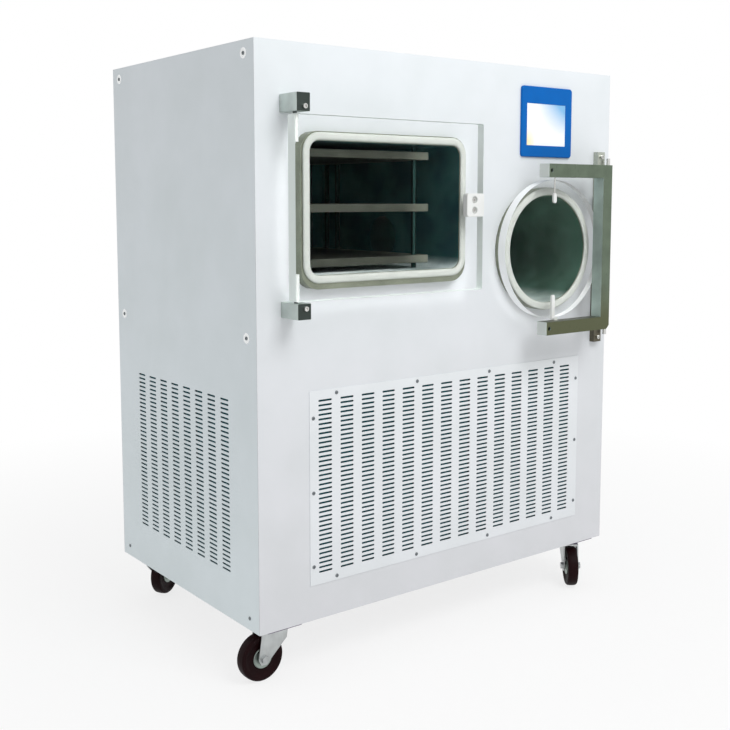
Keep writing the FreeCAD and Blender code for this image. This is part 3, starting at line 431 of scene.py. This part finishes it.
def turned(bm, centre, axis, profile, sides=48, ring=False):
    """A turned form.

    profile holds (distance along, radius), where a radius may be a function of the turn.
    """
    axis = axis.normalized()
    first, second = crosswise(axis)
    loops = []
    for along, radius in profile:
        loop = []
        for step in range(sides):
            turn = math.tau * step / sides
            reach = radius(turn) if callable(radius) else radius
            offset = first * math.cos(turn) + second * math.sin(turn)
            loop.append(centre + (axis * along + offset * reach) * MM)
        loops.append(loop)
    add_loops(bm, loops, ring)


def mirrored(half):
    """The other half of a turned section, from its outer end back."""
    return [(-along, radius) for along, radius in reversed(half)]


def cross_shape(length, width):
    """The reach of a cross-shaped recess at each turn."""

    def reach(turn):
        c, s = max(abs(math.cos(turn)), 1e-6), max(abs(math.sin(turn)), 1e-6)
        return max(min(length / c, width / s), min(length / s, width / c))

    return reach


def hexagon_shape(across_flats):
    """The reach of a six-sided recess at each turn."""

    def reach(turn):
        return across_flats / 2 / math.cos((turn + math.pi / 6) % (math.pi / 3) - math.pi / 6)

    return reach


def shade(mesh, degrees):
    """Smooth faces, with sharp edges where the surface turns by more than an angle."""
    bm = bmesh.new()
    bm.from_mesh(mesh)
    bmesh.ops.recalc_face_normals(bm, faces=bm.faces)
    for face in bm.faces:
        face.smooth = True
    for edge in bm.edges:
        edge.smooth = edge.is_manifold and edge.calc_face_angle() < math.radians(degrees)
    bm.to_mesh(mesh)
    bm.free()


def finished(name, bm, body, look, nodes, degrees=32.0):
    bmesh.ops.remove_doubles(bm, verts=bm.verts, dist=1e-6)
    mesh = bpy.data.meshes.new(name)
    bm.to_mesh(mesh)
    bm.free()
    shade(mesh, degrees)
    piece = bpy.data.objects.new(name, mesh)
    scene.collection.objects.link(piece)
    piece.modifiers.new("flat_faces_lead", "WEIGHTED_NORMAL").keep_sharp = True
    mesh.materials.append(looks[look].material)
    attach(piece, body)
    if nodes:
        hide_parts(*nodes)
    return piece


def second_look(piece, look, takes):
    """Gives another look to the faces of a piece that the function takes picks."""
    piece.data.materials.append(looks[look].material)
    for face in piece.data.polygons:
        face.material_index = int(takes(face))


def softened(
    node, look, body="cabinet", width=1.0, segments=2, side_look=None, facing=RIGHT
):
    """The frame's own solid with its edges rounded off, in place of the node.

    Faces that turn along facing, either way, can have a look of their own.
    """
    bm = bmesh.new()
    bm.from_mesh(frame["nodes"][node].data)
    bmesh.ops.remove_doubles(bm, verts=bm.verts, dist=1e-6)
    bmesh.ops.dissolve_limit(bm, angle_limit=math.radians(1.0), verts=bm.verts, edges=bm.edges)
    limit = math.radians(40.0)
    bmesh.ops.bevel(
        bm,
        geom=[edge for edge in bm.edges if edge.is_manifold and edge.calc_face_angle() > limit],
        offset=width * MM,
        segments=segments,
        profile=0.5,
        affect="EDGES",
        clamp_overlap=True,
    )
    piece = finished("soft_" + node, bm, body, look, [node])
    if side_look:
        second_look(piece, side_look, lambda face: abs(face.normal.dot(facing)) > 0.7)
    return piece


def glowing_edges(plate, look):
    """Gives the edges of a clear plate that faces forward a white look, painted light for their
    glow.
    """
    second_look(plate, look, lambda face: abs(face.normal.y) < 0.9)


def keep(node, look):
    """A CAD node whose shape is right gets its material."""
    mesh = frame["nodes"][node].data
    mesh.materials.clear()
    mesh.materials.append(looks[look].material)


# ---------------------------------------------------------------- cabinet

SLOT_LONG, SLOT_HIGH, SLOT_EASE = 34.5, 4.2, 0.35
SLOT_ROWS, SLOTS_H = 38, (100.0, 469.0)
GRILLE_COLUMNS, GRILLE_SLOTS_U = 14, (146.0, 912.0)
SIDE_COLUMNS, SIDE_SLOTS_BACK = 8, (115.0, 538.5)

FILTER_LOW, FILTER_HIGH, FILTER_GAP = 92.0, 382.0, 3.4
PLEAT_PITCH, PLEAT_DEEP, PLEAT_THICK = 12.0, 6.0, 1.2
SIDE_FILTER_BACK, SIDE_PLEATS = 111.0, 36
# Name, start in u and pleats. The frame's middle post stands between the two.
FRONT_FILTERS = (("front_left", 139.0, 36), ("front_right", 607.0, 26))

GRILLE_SCREW_EDGE = 9.0
GRILLE_SCREWS_U = [192.0 + step * 221.0 for step in range(4)]
GRILLE_SCREWS_H = [116.0 + step * 158.0 for step in range(3)]
PANEL_LOW_SCREW_H, PANEL_CUPS_H = 25.0, (605.0, 1164.0)
SIDE_SCREWS_BACK = (38.5, 609.5)
REAR_SCREW_EDGE = 18.0
CUP_FLOOR = 0.6


def slot_outline(left, right, low, high, grow):
    """Ten points round a slot with round ends, from the right end's lower tangent."""
    radius, centre = (high - low) / 2, (low + high) / 2
    points = []
    for end, start in ((right - radius, -90), (left + radius, 90)):
        for step in range(5):
            turn = math.radians(start + 45 * step)
            reach = radius + grow
            points.append((end + reach * math.cos(turn), centre + reach * math.sin(turn)))
    return points


def cell_outline(left, right, low, high, slot_left, slot_right):
    """The ten points on a cell's border that face a slot's ten."""
    centre = (low + high) / 2
    right_side = [(right, low), (right, centre), (right, high)]
    left_side = [(left, high), (left, centre), (left, low)]
    return [
        (slot_right, low),
        *right_side,
        (slot_right, high),
        (slot_left, high),
        *left_side,
        (slot_left, low),
    ]


def slotted_plate(
    name, node, corner, right, size, thick, field_a, field_h, columns, look, inner=None
):
    """A plate with a field of slots, in place of a node.

    corner is its outer face's lower left corner, seen from outside, and right points to the
    right from there. The field is measured from the corner. The inner face can have a look of
    its own.
    """
    normal = right.cross(UP)
    bm = bmesh.new()

    def points(outline, depth):
        return [
            bm.verts.new(corner + (right * a + UP * b - normal * depth) * MM) for a, b in outline
        ]

    pitch_a = (field_a[1] - field_a[0] - SLOT_LONG) / (columns - 1)
    pitch_h = (field_h[1] - field_h[0] - SLOT_HIGH) / (SLOT_ROWS - 1)
    bar_a, bar_h = pitch_a - SLOT_LONG, pitch_h - SLOT_HIGH
    radius = SLOT_HIGH / 2
    rims_a, rims_h = [], []
    for column in range(columns):
        a0 = field_a[0] + column * pitch_a
        a1 = a0 + SLOT_LONG
        rims_a += [a0 - bar_a / 2, a0 + radius, a1 - radius]
        for row in range(SLOT_ROWS):
            h0 = field_h[0] + row * pitch_h
            h1 = h0 + SLOT_HIGH
            cell = (a0 - bar_a / 2, a1 + bar_a / 2, h0 - bar_h / 2, h1 + bar_h / 2)
            border = cell_outline(*cell, a0 + radius, a1 - radius)
            mouth, wall = (slot_outline(a0, a1, h0, h1, grow) for grow in (SLOT_EASE, 0.0))
            rows = [(border, 0.0), (mouth, 0.0), (wall, SLOT_EASE), (wall, thick), (border, thick)]
            loops = [points(outline, depth) for outline, depth in rows]
            for near, far in zip(loops, loops[1:]):
                bridge(bm, near, far)

    # Four plain borders join the field to the plate's edge, and share the cells' points.
    low_a, high_a = field_a[0] - bar_a / 2, field_a[1] + bar_a / 2
    low_h, high_h = field_h[0] - bar_h / 2, field_h[1] + bar_h / 2
    rims_a.append(high_a)
    for row in range(SLOT_ROWS):
        rims_h += [low_h + row * pitch_h, low_h + (row + 0.5) * pitch_h]
    rims_h.append(high_h)
    wide, high = size
    borders = [
        [(0, 0), (wide, 0)] + [(a, low_h) for a in reversed(rims_a)],
        [(wide, 0), (wide, high)] + [(high_a, h) for h in reversed(rims_h)],
        [(wide, high), (0, high)] + [(a, high_h) for a in rims_a],
        [(0, high), (0, 0)] + [(low_a, h) for h in rims_h],
    ]
    for outline in borders:
        for depth in (0.0, thick):
            bm.faces.new(points(outline, depth))
        edge = outline[:2]
        bm.faces.new(points(edge, 0.0) + points(reversed(edge), thick))
    bmesh.ops.remove_doubles(bm, verts=bm.verts, dist=1e-5)
    plate = finished(name, bm, "cabinet", look, [node])
    if inner:
        second_look(plate, inner, lambda face: face.normal.dot(normal) < -0.9)


def cabinet():
    grille_u, grille_out, grille_h = spans("front_grille")
    slotted_plate(
        "grille_plate",
        "front_grille",
        corner=at(grille_u[0], grille_out[1], grille_h[0]),
        right=RIGHT,
        size=(grille_u[1] - grille_u[0], grille_h[1] - grille_h[0]),
        thick=grille_out[1],
        field_a=tuple(u - grille_u[0] for u in GRILLE_SLOTS_U),
        field_h=tuple(h - grille_h[0] for h in SLOTS_H),
        columns=GRILLE_COLUMNS,
        look="grille",
    )
    for node in ("left_panel", "right_panel"):
        side_u, (rear, front), side_h = spans(node)
        long = front - rear
        front_gap, rear_gap = SIDE_SLOTS_BACK[0] + front, -rear - SIDE_SLOTS_BACK[1]
        # Seen from outside, the left panel begins at the rear and the right one at the front.
        if node == "left_panel":
            corner, right = at(side_u[0], rear, side_h[0]), -BACK
            field = (rear_gap, long - front_gap)
        else:
            corner, right = at(side_u[1], front, side_h[0]), BACK
            field = (front_gap, long - rear_gap)
        # The panels' inner faces get the painted shade.
        slotted_plate(
            node + "_plate",
            node,
            corner=corner,
            right=right,
            size=(long, side_h[1] - side_h[0]),
            thick=side_u[1] - side_u[0],
            field_a=field,
            field_h=SLOTS_H,
            columns=SIDE_COLUMNS,
            look="side_paint",
            inner="panel_inner_shade",
        )
    for node in ("front_panel", "top_panel", "rear_panel"):
        softened(node, "paint", width=0.8)
    keep("base_plate", "paint")
    # The frame gets painted shade, a dark teal.
    keep("frame", "frame")


def pleated_filter(name, start, along, inward, pleats):
    """A dust filter with upright pleats, from the lower corner of its outer side, teal as painted
    shade.
    """
    outer, inner = [], []
    for step in range(2 * pleats + 1):
        place = start + along * step * PLEAT_PITCH / 2 * MM
        reach = PLEAT_DEEP if step % 2 else 0.0
        outer.append(place + inward * reach * MM)
        inner.append(place + inward * (reach + PLEAT_THICK) * MM)
    outline = outer + list(reversed(inner))
    bm = bmesh.new()
    add_loops(bm, [[point + UP * h * MM for point in outline] for h in (0.0, FILTER_HIGH)])
    finished(name + "_filter", bm, "cabinet", "filter", [])


def filters():
    """Pleated dust filters behind the slots of the grille and the side panels, whose teal is
    painted shade.
    """
    wide = spans("front_panel")[0][1]
    for name, u, inward in (("left", FILTER_GAP, RIGHT), ("right", wide - FILTER_GAP, -RIGHT)):
        start = at(u, -SIDE_FILTER_BACK, FILTER_LOW)
        pleated_filter(name, start, BACK, inward, SIDE_PLEATS)
    for name, u, pleats in FRONT_FILTERS:
        pleated_filter(name, at(u, -FILTER_GAP, FILTER_LOW), RIGHT, BACK, pleats)


def pan_screw(bm, seat, direction):
    """Domed head with a cross recess."""
    radius, high = 4.0, 2.0
    cross = cross_shape(radius * 0.52, radius * 0.13)
    profile = [
        (0.0, radius),
        (high * 0.35, radius),
        (high * 0.7, radius * 0.86),
        (high * 0.93, radius * 0.6),
        (high * 0.93, cross),
        (high * 0.35, cross),
    ]
    turned(bm, seat, direction, profile, sides=40)


def screw_cup(bm, seat, direction):
    """Moulded cup under a screw, with a thin floor that the screw stands on."""
    profile = [
        (0.0, 11.0),
        (0.7, 10.9),
        (1.5, 10.0),
        (2.0, 8.8),
        (1.9, 8.0),
        (1.3, 7.2),
        (CUP_FLOOR, 6.4),
        (CUP_FLOOR, 0.3),
        (0.0, 0.3),
    ]
    turned(bm, seat, direction, profile, sides=40, ring=True)


def fasteners():
    """Screws of the grille and the panels, with the moulded cups of the upper side ones."""
    grille_u, grille_out, grille_h = spans("front_grille")
    ends_u = (grille_u[0] + GRILLE_SCREW_EDGE, grille_u[1] - GRILLE_SCREW_EDGE)
    ends_h = (grille_h[0] + GRILLE_SCREW_EDGE, grille_h[1] - GRILLE_SCREW_EDGE)
    seats = [(u, h) for u in GRILLE_SCREWS_U for h in ends_h]
    seats += [(u, h) for h in GRILLE_SCREWS_H for u in ends_u]
    heads = bmesh.new()
    for u, h in seats:
        pan_screw(heads, at(u, grille_out[1], h), -BACK)
    finished("grille_screw_heads", heads, "cabinet", "dark", ["grille_screws"])

    wide = spans("front_panel")[0][1]
    heads, cups = bmesh.new(), bmesh.new()
    for u, direction in ((0.0, -RIGHT), (wide, RIGHT)):
        for back in SIDE_SCREWS_BACK:
            pan_screw(heads, at(u, -back, PANEL_LOW_SCREW_H), direction)
            for h in PANEL_CUPS_H:
                seat = at(u, -back, h)
                pan_screw(heads, seat + direction * CUP_FLOOR * MM, direction)
                screw_cup(cups, seat, direction)
    finished("panel_screw_heads", heads, "cabinet", "dark", ["panel_screws"])

    heads = bmesh.new()
    rear_out = spans("rear_panel")[1][0]
    for u in (REAR_SCREW_EDGE, wide / 2, wide - REAR_SCREW_EDGE):
        for h in (PANEL_LOW_SCREW_H, *PANEL_CUPS_H):
            pan_screw(heads, at(u, rear_out, h), BACK)
    finished("rear_screw_heads", heads, "cabinet", "dark", [])
    finished("screw_cups", cups, "cabinet", "cup", ["cup_washers"])


# ---------------------------------------------------------------- chamber and its door

CHAMBER_U, CHAMBER_H, CHAMBER_CORNER = (107.0, 506.0), (730.0, 997.0), 22.0

# How far the silicone ring lies outside the mouth, from its inner to its outer edge.
CHAMBER_SEAL = (1.0, 17.0)

# How far outside a mouth its wall still counts as inside the vessel.
MOUTH_SLACK = 0.5

BLOCK_SCREW_U, BLOCK_SCREW_H = 75.0, 22.0
BAR_SCREW_U, BAR_SCREW_OUT, BAR_SCREW_EDGE = 1001.0, 14.0, 12.0
SOCKET_SCREW_R = 5.0


def rounded_loop(grow, out, steps=8):
    """A loop round the chamber's mouth, grown outwards."""
    u = (CHAMBER_U[0] - grow, CHAMBER_U[1] + grow)
    h = (CHAMBER_H[0] - grow, CHAMBER_H[1] + grow)
    radius = CHAMBER_CORNER + grow
    loop = []
    for quarter, (right, top) in enumerate(((1, 1), (0, 1), (0, 0), (1, 0))):
        middle_u = u[right] + (-radius if right else radius)
        middle_h = h[top] + (-radius if top else radius)
        for step in range(steps + 1):
            turn = (quarter + step / steps) * math.pi / 2
            across, up = radius * math.cos(turn), radius * math.sin(turn)
            loop.append(at(middle_u + across, out, middle_h + up))
    return loop


def seal_section(inner, outer, base, face):
    """Section of a silicone ring: a flat band with well rounded shoulders."""
    wide, high = outer - inner, face - base
    half = [(0.0, 0.3), (0.03, 0.62), (0.11, 0.84), (0.24, 0.96), (0.4, 1.0)]
    shape = [(0.06, 0.0)] + half + [(1.0 - a, b) for a, b in reversed(half)] + [(0.94, 0.0)]
    return [(inner + a * wide, base + b * high) for a, b in shape]


def vessel(node, look, in_mouth):
    """A vessel whose collar, round its mouth and on its front face, has a lighter look; the
    inside's darker one is painted shade.
    """

    def on_collar(face):
        u, out, h = terms(face.center)
        return out > -1.0 and (face.normal.y < -0.9 or not in_mouth(u, h))

    second_look(softened(node, look), "collar", on_collar)


def in_chamber_mouth(u, h):
    low_u, high_u = CHAMBER_U[0] - MOUTH_SLACK, CHAMBER_U[1] + MOUTH_SLACK
    low_h, high_h = CHAMBER_H[0] - MOUTH_SLACK, CHAMBER_H[1] + MOUTH_SLACK
    return low_u < u < high_u and low_h < h < high_h


def chamber():
    vessel("chamber", "chamber", in_chamber_mouth)
    base, face = spans("chamber_gasket")[1]
    seal = bmesh.new()
    section = seal_section(*CHAMBER_SEAL, base, face)
    add_loops(seal, [rounded_loop(grow, out) for grow, out in section], ring=True)
    finished(
        "chamber_seal", seal, "cabinet", "silicone", ["chamber_gasket"], degrees=60.0
    )
    # The shelves carry painted light towards their right ends.
    for level in ("top", "middle", "bottom"):
        softened("shelf_" + level, "shelf", width=1.5)
    keep("shelf_spacers", "post")
    keep("oil_manifolds", "post")


def socket_screw(bm, seat, high=5.0, across=5.0):
    """Socket head facing forward."""
    recess = hexagon_shape(across)
    profile = [
        (0.0, SOCKET_SCREW_R),
        (high - 0.6, SOCKET_SCREW_R),
        (high, SOCKET_SCREW_R - 0.6),
        (high, recess),
        (high * 0.4, recess),
    ]
    turned(bm, seat, -BACK, profile)


def door():
    slab = softened("chamber_door", "acrylic", body="door", width=1.5, segments=3)
    # The slab's edges are painted white as painted light.
    glowing_edges(slab, "edge_glow")
    keep("door_bushes", "nylon")
    keep("door_pins", "dark_steel")
    softened("door_handle", "nylon", body="door", width=1.5, segments=3)
    # Painted light on the blocks' sides and painted shade on their fronts and backs.
    softened(
        "door_hinge_blocks",
        "block",
        width=0.8,
        side_look="block_front_painted_shade",
        facing=BACK,
    )

    _, (_, block_face), (block_low, _) = spans("door_hinge_blocks")
    bar_low, bar_high = spans("yoke_hinge_bar")[2]
    top = spans("cap_screws")[2][1]
    heads = bmesh.new()
    for h in (top - SOCKET_SCREW_R, block_low + BLOCK_SCREW_H):
        socket_screw(heads, at(BLOCK_SCREW_U, block_face, h))
    for h in (bar_low + BAR_SCREW_EDGE, bar_high - BAR_SCREW_EDGE):
        socket_screw(heads, at(BAR_SCREW_U, BAR_SCREW_OUT, h))
    finished("socket_heads", heads, "cabinet", "bright", ["cap_screws"])

    screw_u, (seat_out, _), (low, high) = spans("handle_screws")
    heads = bmesh.new()
    for h in (low + SOCKET_SCREW_R, high - SOCKET_SCREW_R):
        socket_screw(heads, at(middle(screw_u), seat_out, h), high=4.0, across=4.0)
    finished("handle_screw_heads", heads, "door", "bright", ["handle_screws"])


# ---------------------------------------------------------------- cold trap and yoke

TRAP_R, TRAP_SEAL = 127.0, (1.0, 18.0)
DISC_EASE = 1.5

FINGER_LONG, UPPER_FINGER_LONG = 60.0, 24.0
FINGER_THICK, FINGER_HALF = 6.0, 5.5

# The stud's radius, and how far up the upper finger it starts.
STUD_R, STUD_START = 1.8, 20.0


def trap():
    disc_u, (disc_back, disc_face), disc_h = spans("trap_disc")
    u0, h0 = middle(disc_u), middle(disc_h)
    centre = at(u0, 0.0, h0)
    disc_r = (disc_u[1] - disc_u[0]) / 2
    mouth_r = TRAP_R + MOUTH_SLACK
    vessel("trap_vessel", "trap", lambda u, h: math.hypot(u - u0, h - h0) <= mouth_r)

    base, face = spans("trap_gasket")[1]
    inner, outer = (TRAP_R + reach for reach in TRAP_SEAL)
    section = [(out, radius) for radius, out in seal_section(inner, outer, base, face)]
    seal = bmesh.new()
    turned(seal, centre, -BACK, section, sides=96, ring=True)
    finished("trap_seal", seal, "cabinet", "silicone", ["trap_gasket"], degrees=60.0)

    ease, corner = DISC_EASE, DISC_EASE * 0.3
    profile = [
        (disc_back, disc_r - ease),
        (disc_back + corner, disc_r - corner),
        (disc_back + ease, disc_r),
        (disc_face - ease, disc_r),
        (disc_face - corner, disc_r - corner),
        (disc_face, disc_r - ease),
    ]
    disc = bmesh.new()
    turned(disc, centre, -BACK, profile, sides=128)
    plate = finished("clear_disc", disc, "trap_door", "acrylic", ["trap_disc"])
    # The disc's rim is painted white as painted light.
    glowing_edges(plate, "rim_glow")

    # The yoke carries painted shade low down and a painted reflection on its sides.
    softened(
        "yoke",
        "yoke",
        body="trap_door",
        width=1.4,
        segments=3,
        side_look="yoke_side_painted_reflection",
    )
    softened("yoke_end_caps", "plug", body="trap_door", width=0.8)
    # The hinge bar carries painted shading from foot to top.
    softened("yoke_hinge_bar", "bar", width=1.0)
    keep("yoke_pivot_pin", "bright")
    softened("vapour_duct", "duct", width=0.3)
    softened("vacuum_port", "bright", width=0.5)
    fingers()


def fingers():
    """White fingers on the yoke's arms. The upper one hangs on a thin stud."""
    finger_u, (_, finger_face), (low, high) = spans("yoke_fingers")
    u = middle(finger_u)
    disc_face = spans("trap_disc")[1][1]
    upper = high - FINGER_LONG
    white = bmesh.new()

    def strip(start, end):
        """A finger with round ends, lying on the disc."""
        loops = []
        for part, grow in ((0.0, 0.86), (0.12, 1.0), (0.88, 1.0), (1.0, 0.86)):
            out, reach = disc_face + FINGER_THICK * part, FINGER_HALF * grow
            loop = []
            for step in range(24):
                turn = math.radians(15 * step)
                middle_h = end - FINGER_HALF if math.sin(turn) > 0 else start + FINGER_HALF
                loop.append(at(u + reach * math.cos(turn), out, middle_h + reach * math.sin(turn)))
            loops.append(loop)
        add_loops(white, loops)

    strip(low, low + FINGER_LONG)
    strip(upper, upper + UPPER_FINGER_LONG)
    foot = [(0.0, 5.0), (finger_face - disc_face - 2.0, 5.0)]
    turned(white, at(u, disc_face + 2.0, low + 2.0), -BACK, foot, sides=24)
    finished("white_fingers", white, "trap_door", "nylon", ["yoke_fingers"])

    stud = bmesh.new()
    rod = [(0.0, STUD_R), (FINGER_LONG - STUD_START, STUD_R)]
    turned(stud, at(u, disc_face + FINGER_THICK / 2, upper + STUD_START), UP, rod, sides=20)
    finished("finger_stud", stud, "trap_door", "bright", [])


# ---------------------------------------------------------------- touch screen and plant

PLANT = (
    "compressor_left",
    "compressor_right",
    "fan_shroud",
    "fan_rotor",
    "oil_tank",
    "control_box",
)


def display():
    softened("screen_bezel", "blue", width=0.6, segments=3)
    softened("screen_glass", "screen", width=0.4)


def plant():
    for node in PLANT:
        # The plant's dark colour carries painted shade, a teal cast.
        keep(node, "plant")
    for node in ("condenser", "fan_motor", "oil_pump"):
        keep(node, "fins")
    keep("cable_gland", "black")


# ---------------------------------------------------------------- casters

# The way each caster trails, in degrees from the right, as in the CAD.
CASTER_ANGLES = {"front_left": 180.0, "front_right": 232.0, "rear_left": 33.0, "rear_right": 0.0}

# Half sections of the tyre and the hub: distance from the wheel's middle, and radius.
TYRE_SIDE = [
    (9.6, 22.1),
    (9.6, 32.0),
    (10.6, 36.0),
    (12.9, 39.5),
    (13.5, 43.0),
    (12.6, 47.0),
    (10.0, 49.2),
]
TYRE_CROWN = [(5.0, 49.9), (0.0, 50.0), (-5.0, 49.9)]
HUB_FACE = 15.0
HUB_SIDE = [
    (HUB_FACE, 5.3),
    (HUB_FACE, 8.5),
    (HUB_FACE - 1.0, 9.5),
    (HUB_FACE - 3.2, 10.5),
    (HUB_FACE - 3.6, 19.0),
    (HUB_FACE - 2.6, 21.0),
    (HUB_FACE - 3.6, 22.0),
]


def casters():
    for corner, angle in CASTER_ANGLES.items():
        caster = "caster_" + corner
        wheel = caster + "_wheel"
        low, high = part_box(caster + "_hub")
        centre = (low + high) / 2
        turn = math.radians(angle)
        axle = Vector((-math.sin(turn), math.cos(turn), 0.0))

        tread = bmesh.new()
        section = TYRE_SIDE + TYRE_CROWN + mirrored(TYRE_SIDE)
        turned(tread, centre, axle, section, sides=72, ring=True)
        finished(wheel + "_tyre", tread, wheel, "tyre", [caster + "_tyre"])

        hub = bmesh.new()
        turned(hub, centre, axle, HUB_SIDE + mirrored(HUB_SIDE), ring=True)
        finished(wheel + "_hub", hub, wheel, "hub", [caster + "_hub"])
        softened(caster + "_fork", "zinc", body=caster + "_swivel", width=0.7)
    softened("caster_plates", "plum", width=0.6)


# ---------------------------------------------------------------- stage, light and camera

# Strength of the white world as a light. The camera sees it at full strength.
AMBIENT = 0.62

# In metres: half the floor's side, and how far out its glow starts to grow and is full.
FLOOR_HALF, GLOW_START, GLOW_FULL = 40.0, 0.7, 2.2
GLOW_LEAST = 0.78


def seen_directly(nodes, links):
    """1 for what the camera, gloss and glass see, and 0 for the light that falls on things."""
    ray = nodes.new("ShaderNodeLightPath")
    seen = ray.outputs["Is Camera Ray"]
    for kind in ("Is Glossy Ray", "Is Transmission Ray"):
        either = nodes.new("ShaderNodeMath")
        either.operation = "MAXIMUM"
        links.new(seen, either.inputs[0])
        links.new(ray.outputs[kind], either.inputs[1])
        seen = either.outputs[0]
    return seen


def stage():
    """A pale floor. The camera, gloss and glass see it turn to white with distance."""
    mesh = bpy.data.meshes.new("floor")
    signs = ((-1, -1), (1, -1), (1, 1), (-1, 1))
    mesh.from_pydata([(x * FLOOR_HALF, y * FLOOR_HALF, 0) for x, y in signs], [], [(0, 1, 2, 3)])
    floor = bpy.data.objects.new("floor", mesh)
    scene.collection.objects.link(floor)
    look = Look("floor", srgb(246, 246, 246), 0.9, Specular_IOR_Level=0.0)
    glow = look.node("ShaderNodeEmission", {"Color": (1, 1, 1, 1), "Strength": 1.0})
    distance = look.node("ShaderNodeVectorMath", {0: look.position}, operation="LENGTH")
    share = look.span(distance.outputs["Value"], GLOW_START, GLOW_FULL, GLOW_LEAST, 1.0)
    seen = seen_directly(look.nodes, look.links)
    look.over(look.multiply(seen, share), glow.outputs[0])
    mesh.materials.append(look.material)


def world():
    """White all round, dimmer for the light that falls on things."""
    made = bpy.data.worlds.new("studio")
    made.use_nodes = True
    nodes, links = made.node_tree.nodes, made.node_tree.links
    strength = nodes.new("ShaderNodeMapRange")
    links.new(seen_directly(nodes, links), strength.inputs["Value"])
    strength.inputs["To Min"].default_value = AMBIENT
    strength.inputs["To Max"].default_value = 1.0
    background = nodes["Background"]
    background.inputs["Color"].default_value = (1, 1, 1, 1)
    links.new(strength.outputs[0], background.inputs["Strength"])
    scene.world = made


def lamp(name, place, target, size, power):
    """A square lamp that points at a target, in metres and watts."""
    data = bpy.data.lights.new(name, "AREA")
    data.shape = "SQUARE"
    data.size = size
    data.energy = power
    made = bpy.data.objects.new(name, data)
    made.location = place
    toward = Vector(target) - Vector(place)
    made.rotation_euler = toward.to_track_quat("-Z", "Y").to_euler()
    scene.collection.objects.link(made)


def camera(place, turn, tilt, lens, shift):
    """A camera at a place in metres, turned from straight ahead and tilted down, in degrees."""
    data = bpy.data.cameras.new("camera")
    data.lens = lens
    data.sensor_width = 36.0
    data.shift_y = shift
    made = bpy.data.objects.new("camera", data)
    made.location = place
    turn, tilt = math.radians(turn), math.radians(tilt)
    level = math.cos(tilt)
    back = Vector((math.sin(turn) * level, -math.cos(turn) * level, math.sin(tilt)))
    made.rotation_euler = (-back).to_track_quat("-Z", "Y").to_euler()
    scene.collection.objects.link(made)
    scene.camera = made


cabinet()
filters()
fasteners()
chamber()
door()
trap()
display()
plant()
casters()
stage()
world()
lamp("key", place=(0.1, -2.6, 3.2), target=(0.0, -0.3, 0.7), size=1.6, power=50.0)
camera(place=(-1.589, -2.046, 1.001), turn=-37.41, tilt=5.92, lens=51.44, shift=-0.08)
scene.view_settings.view_transform = "Standard"
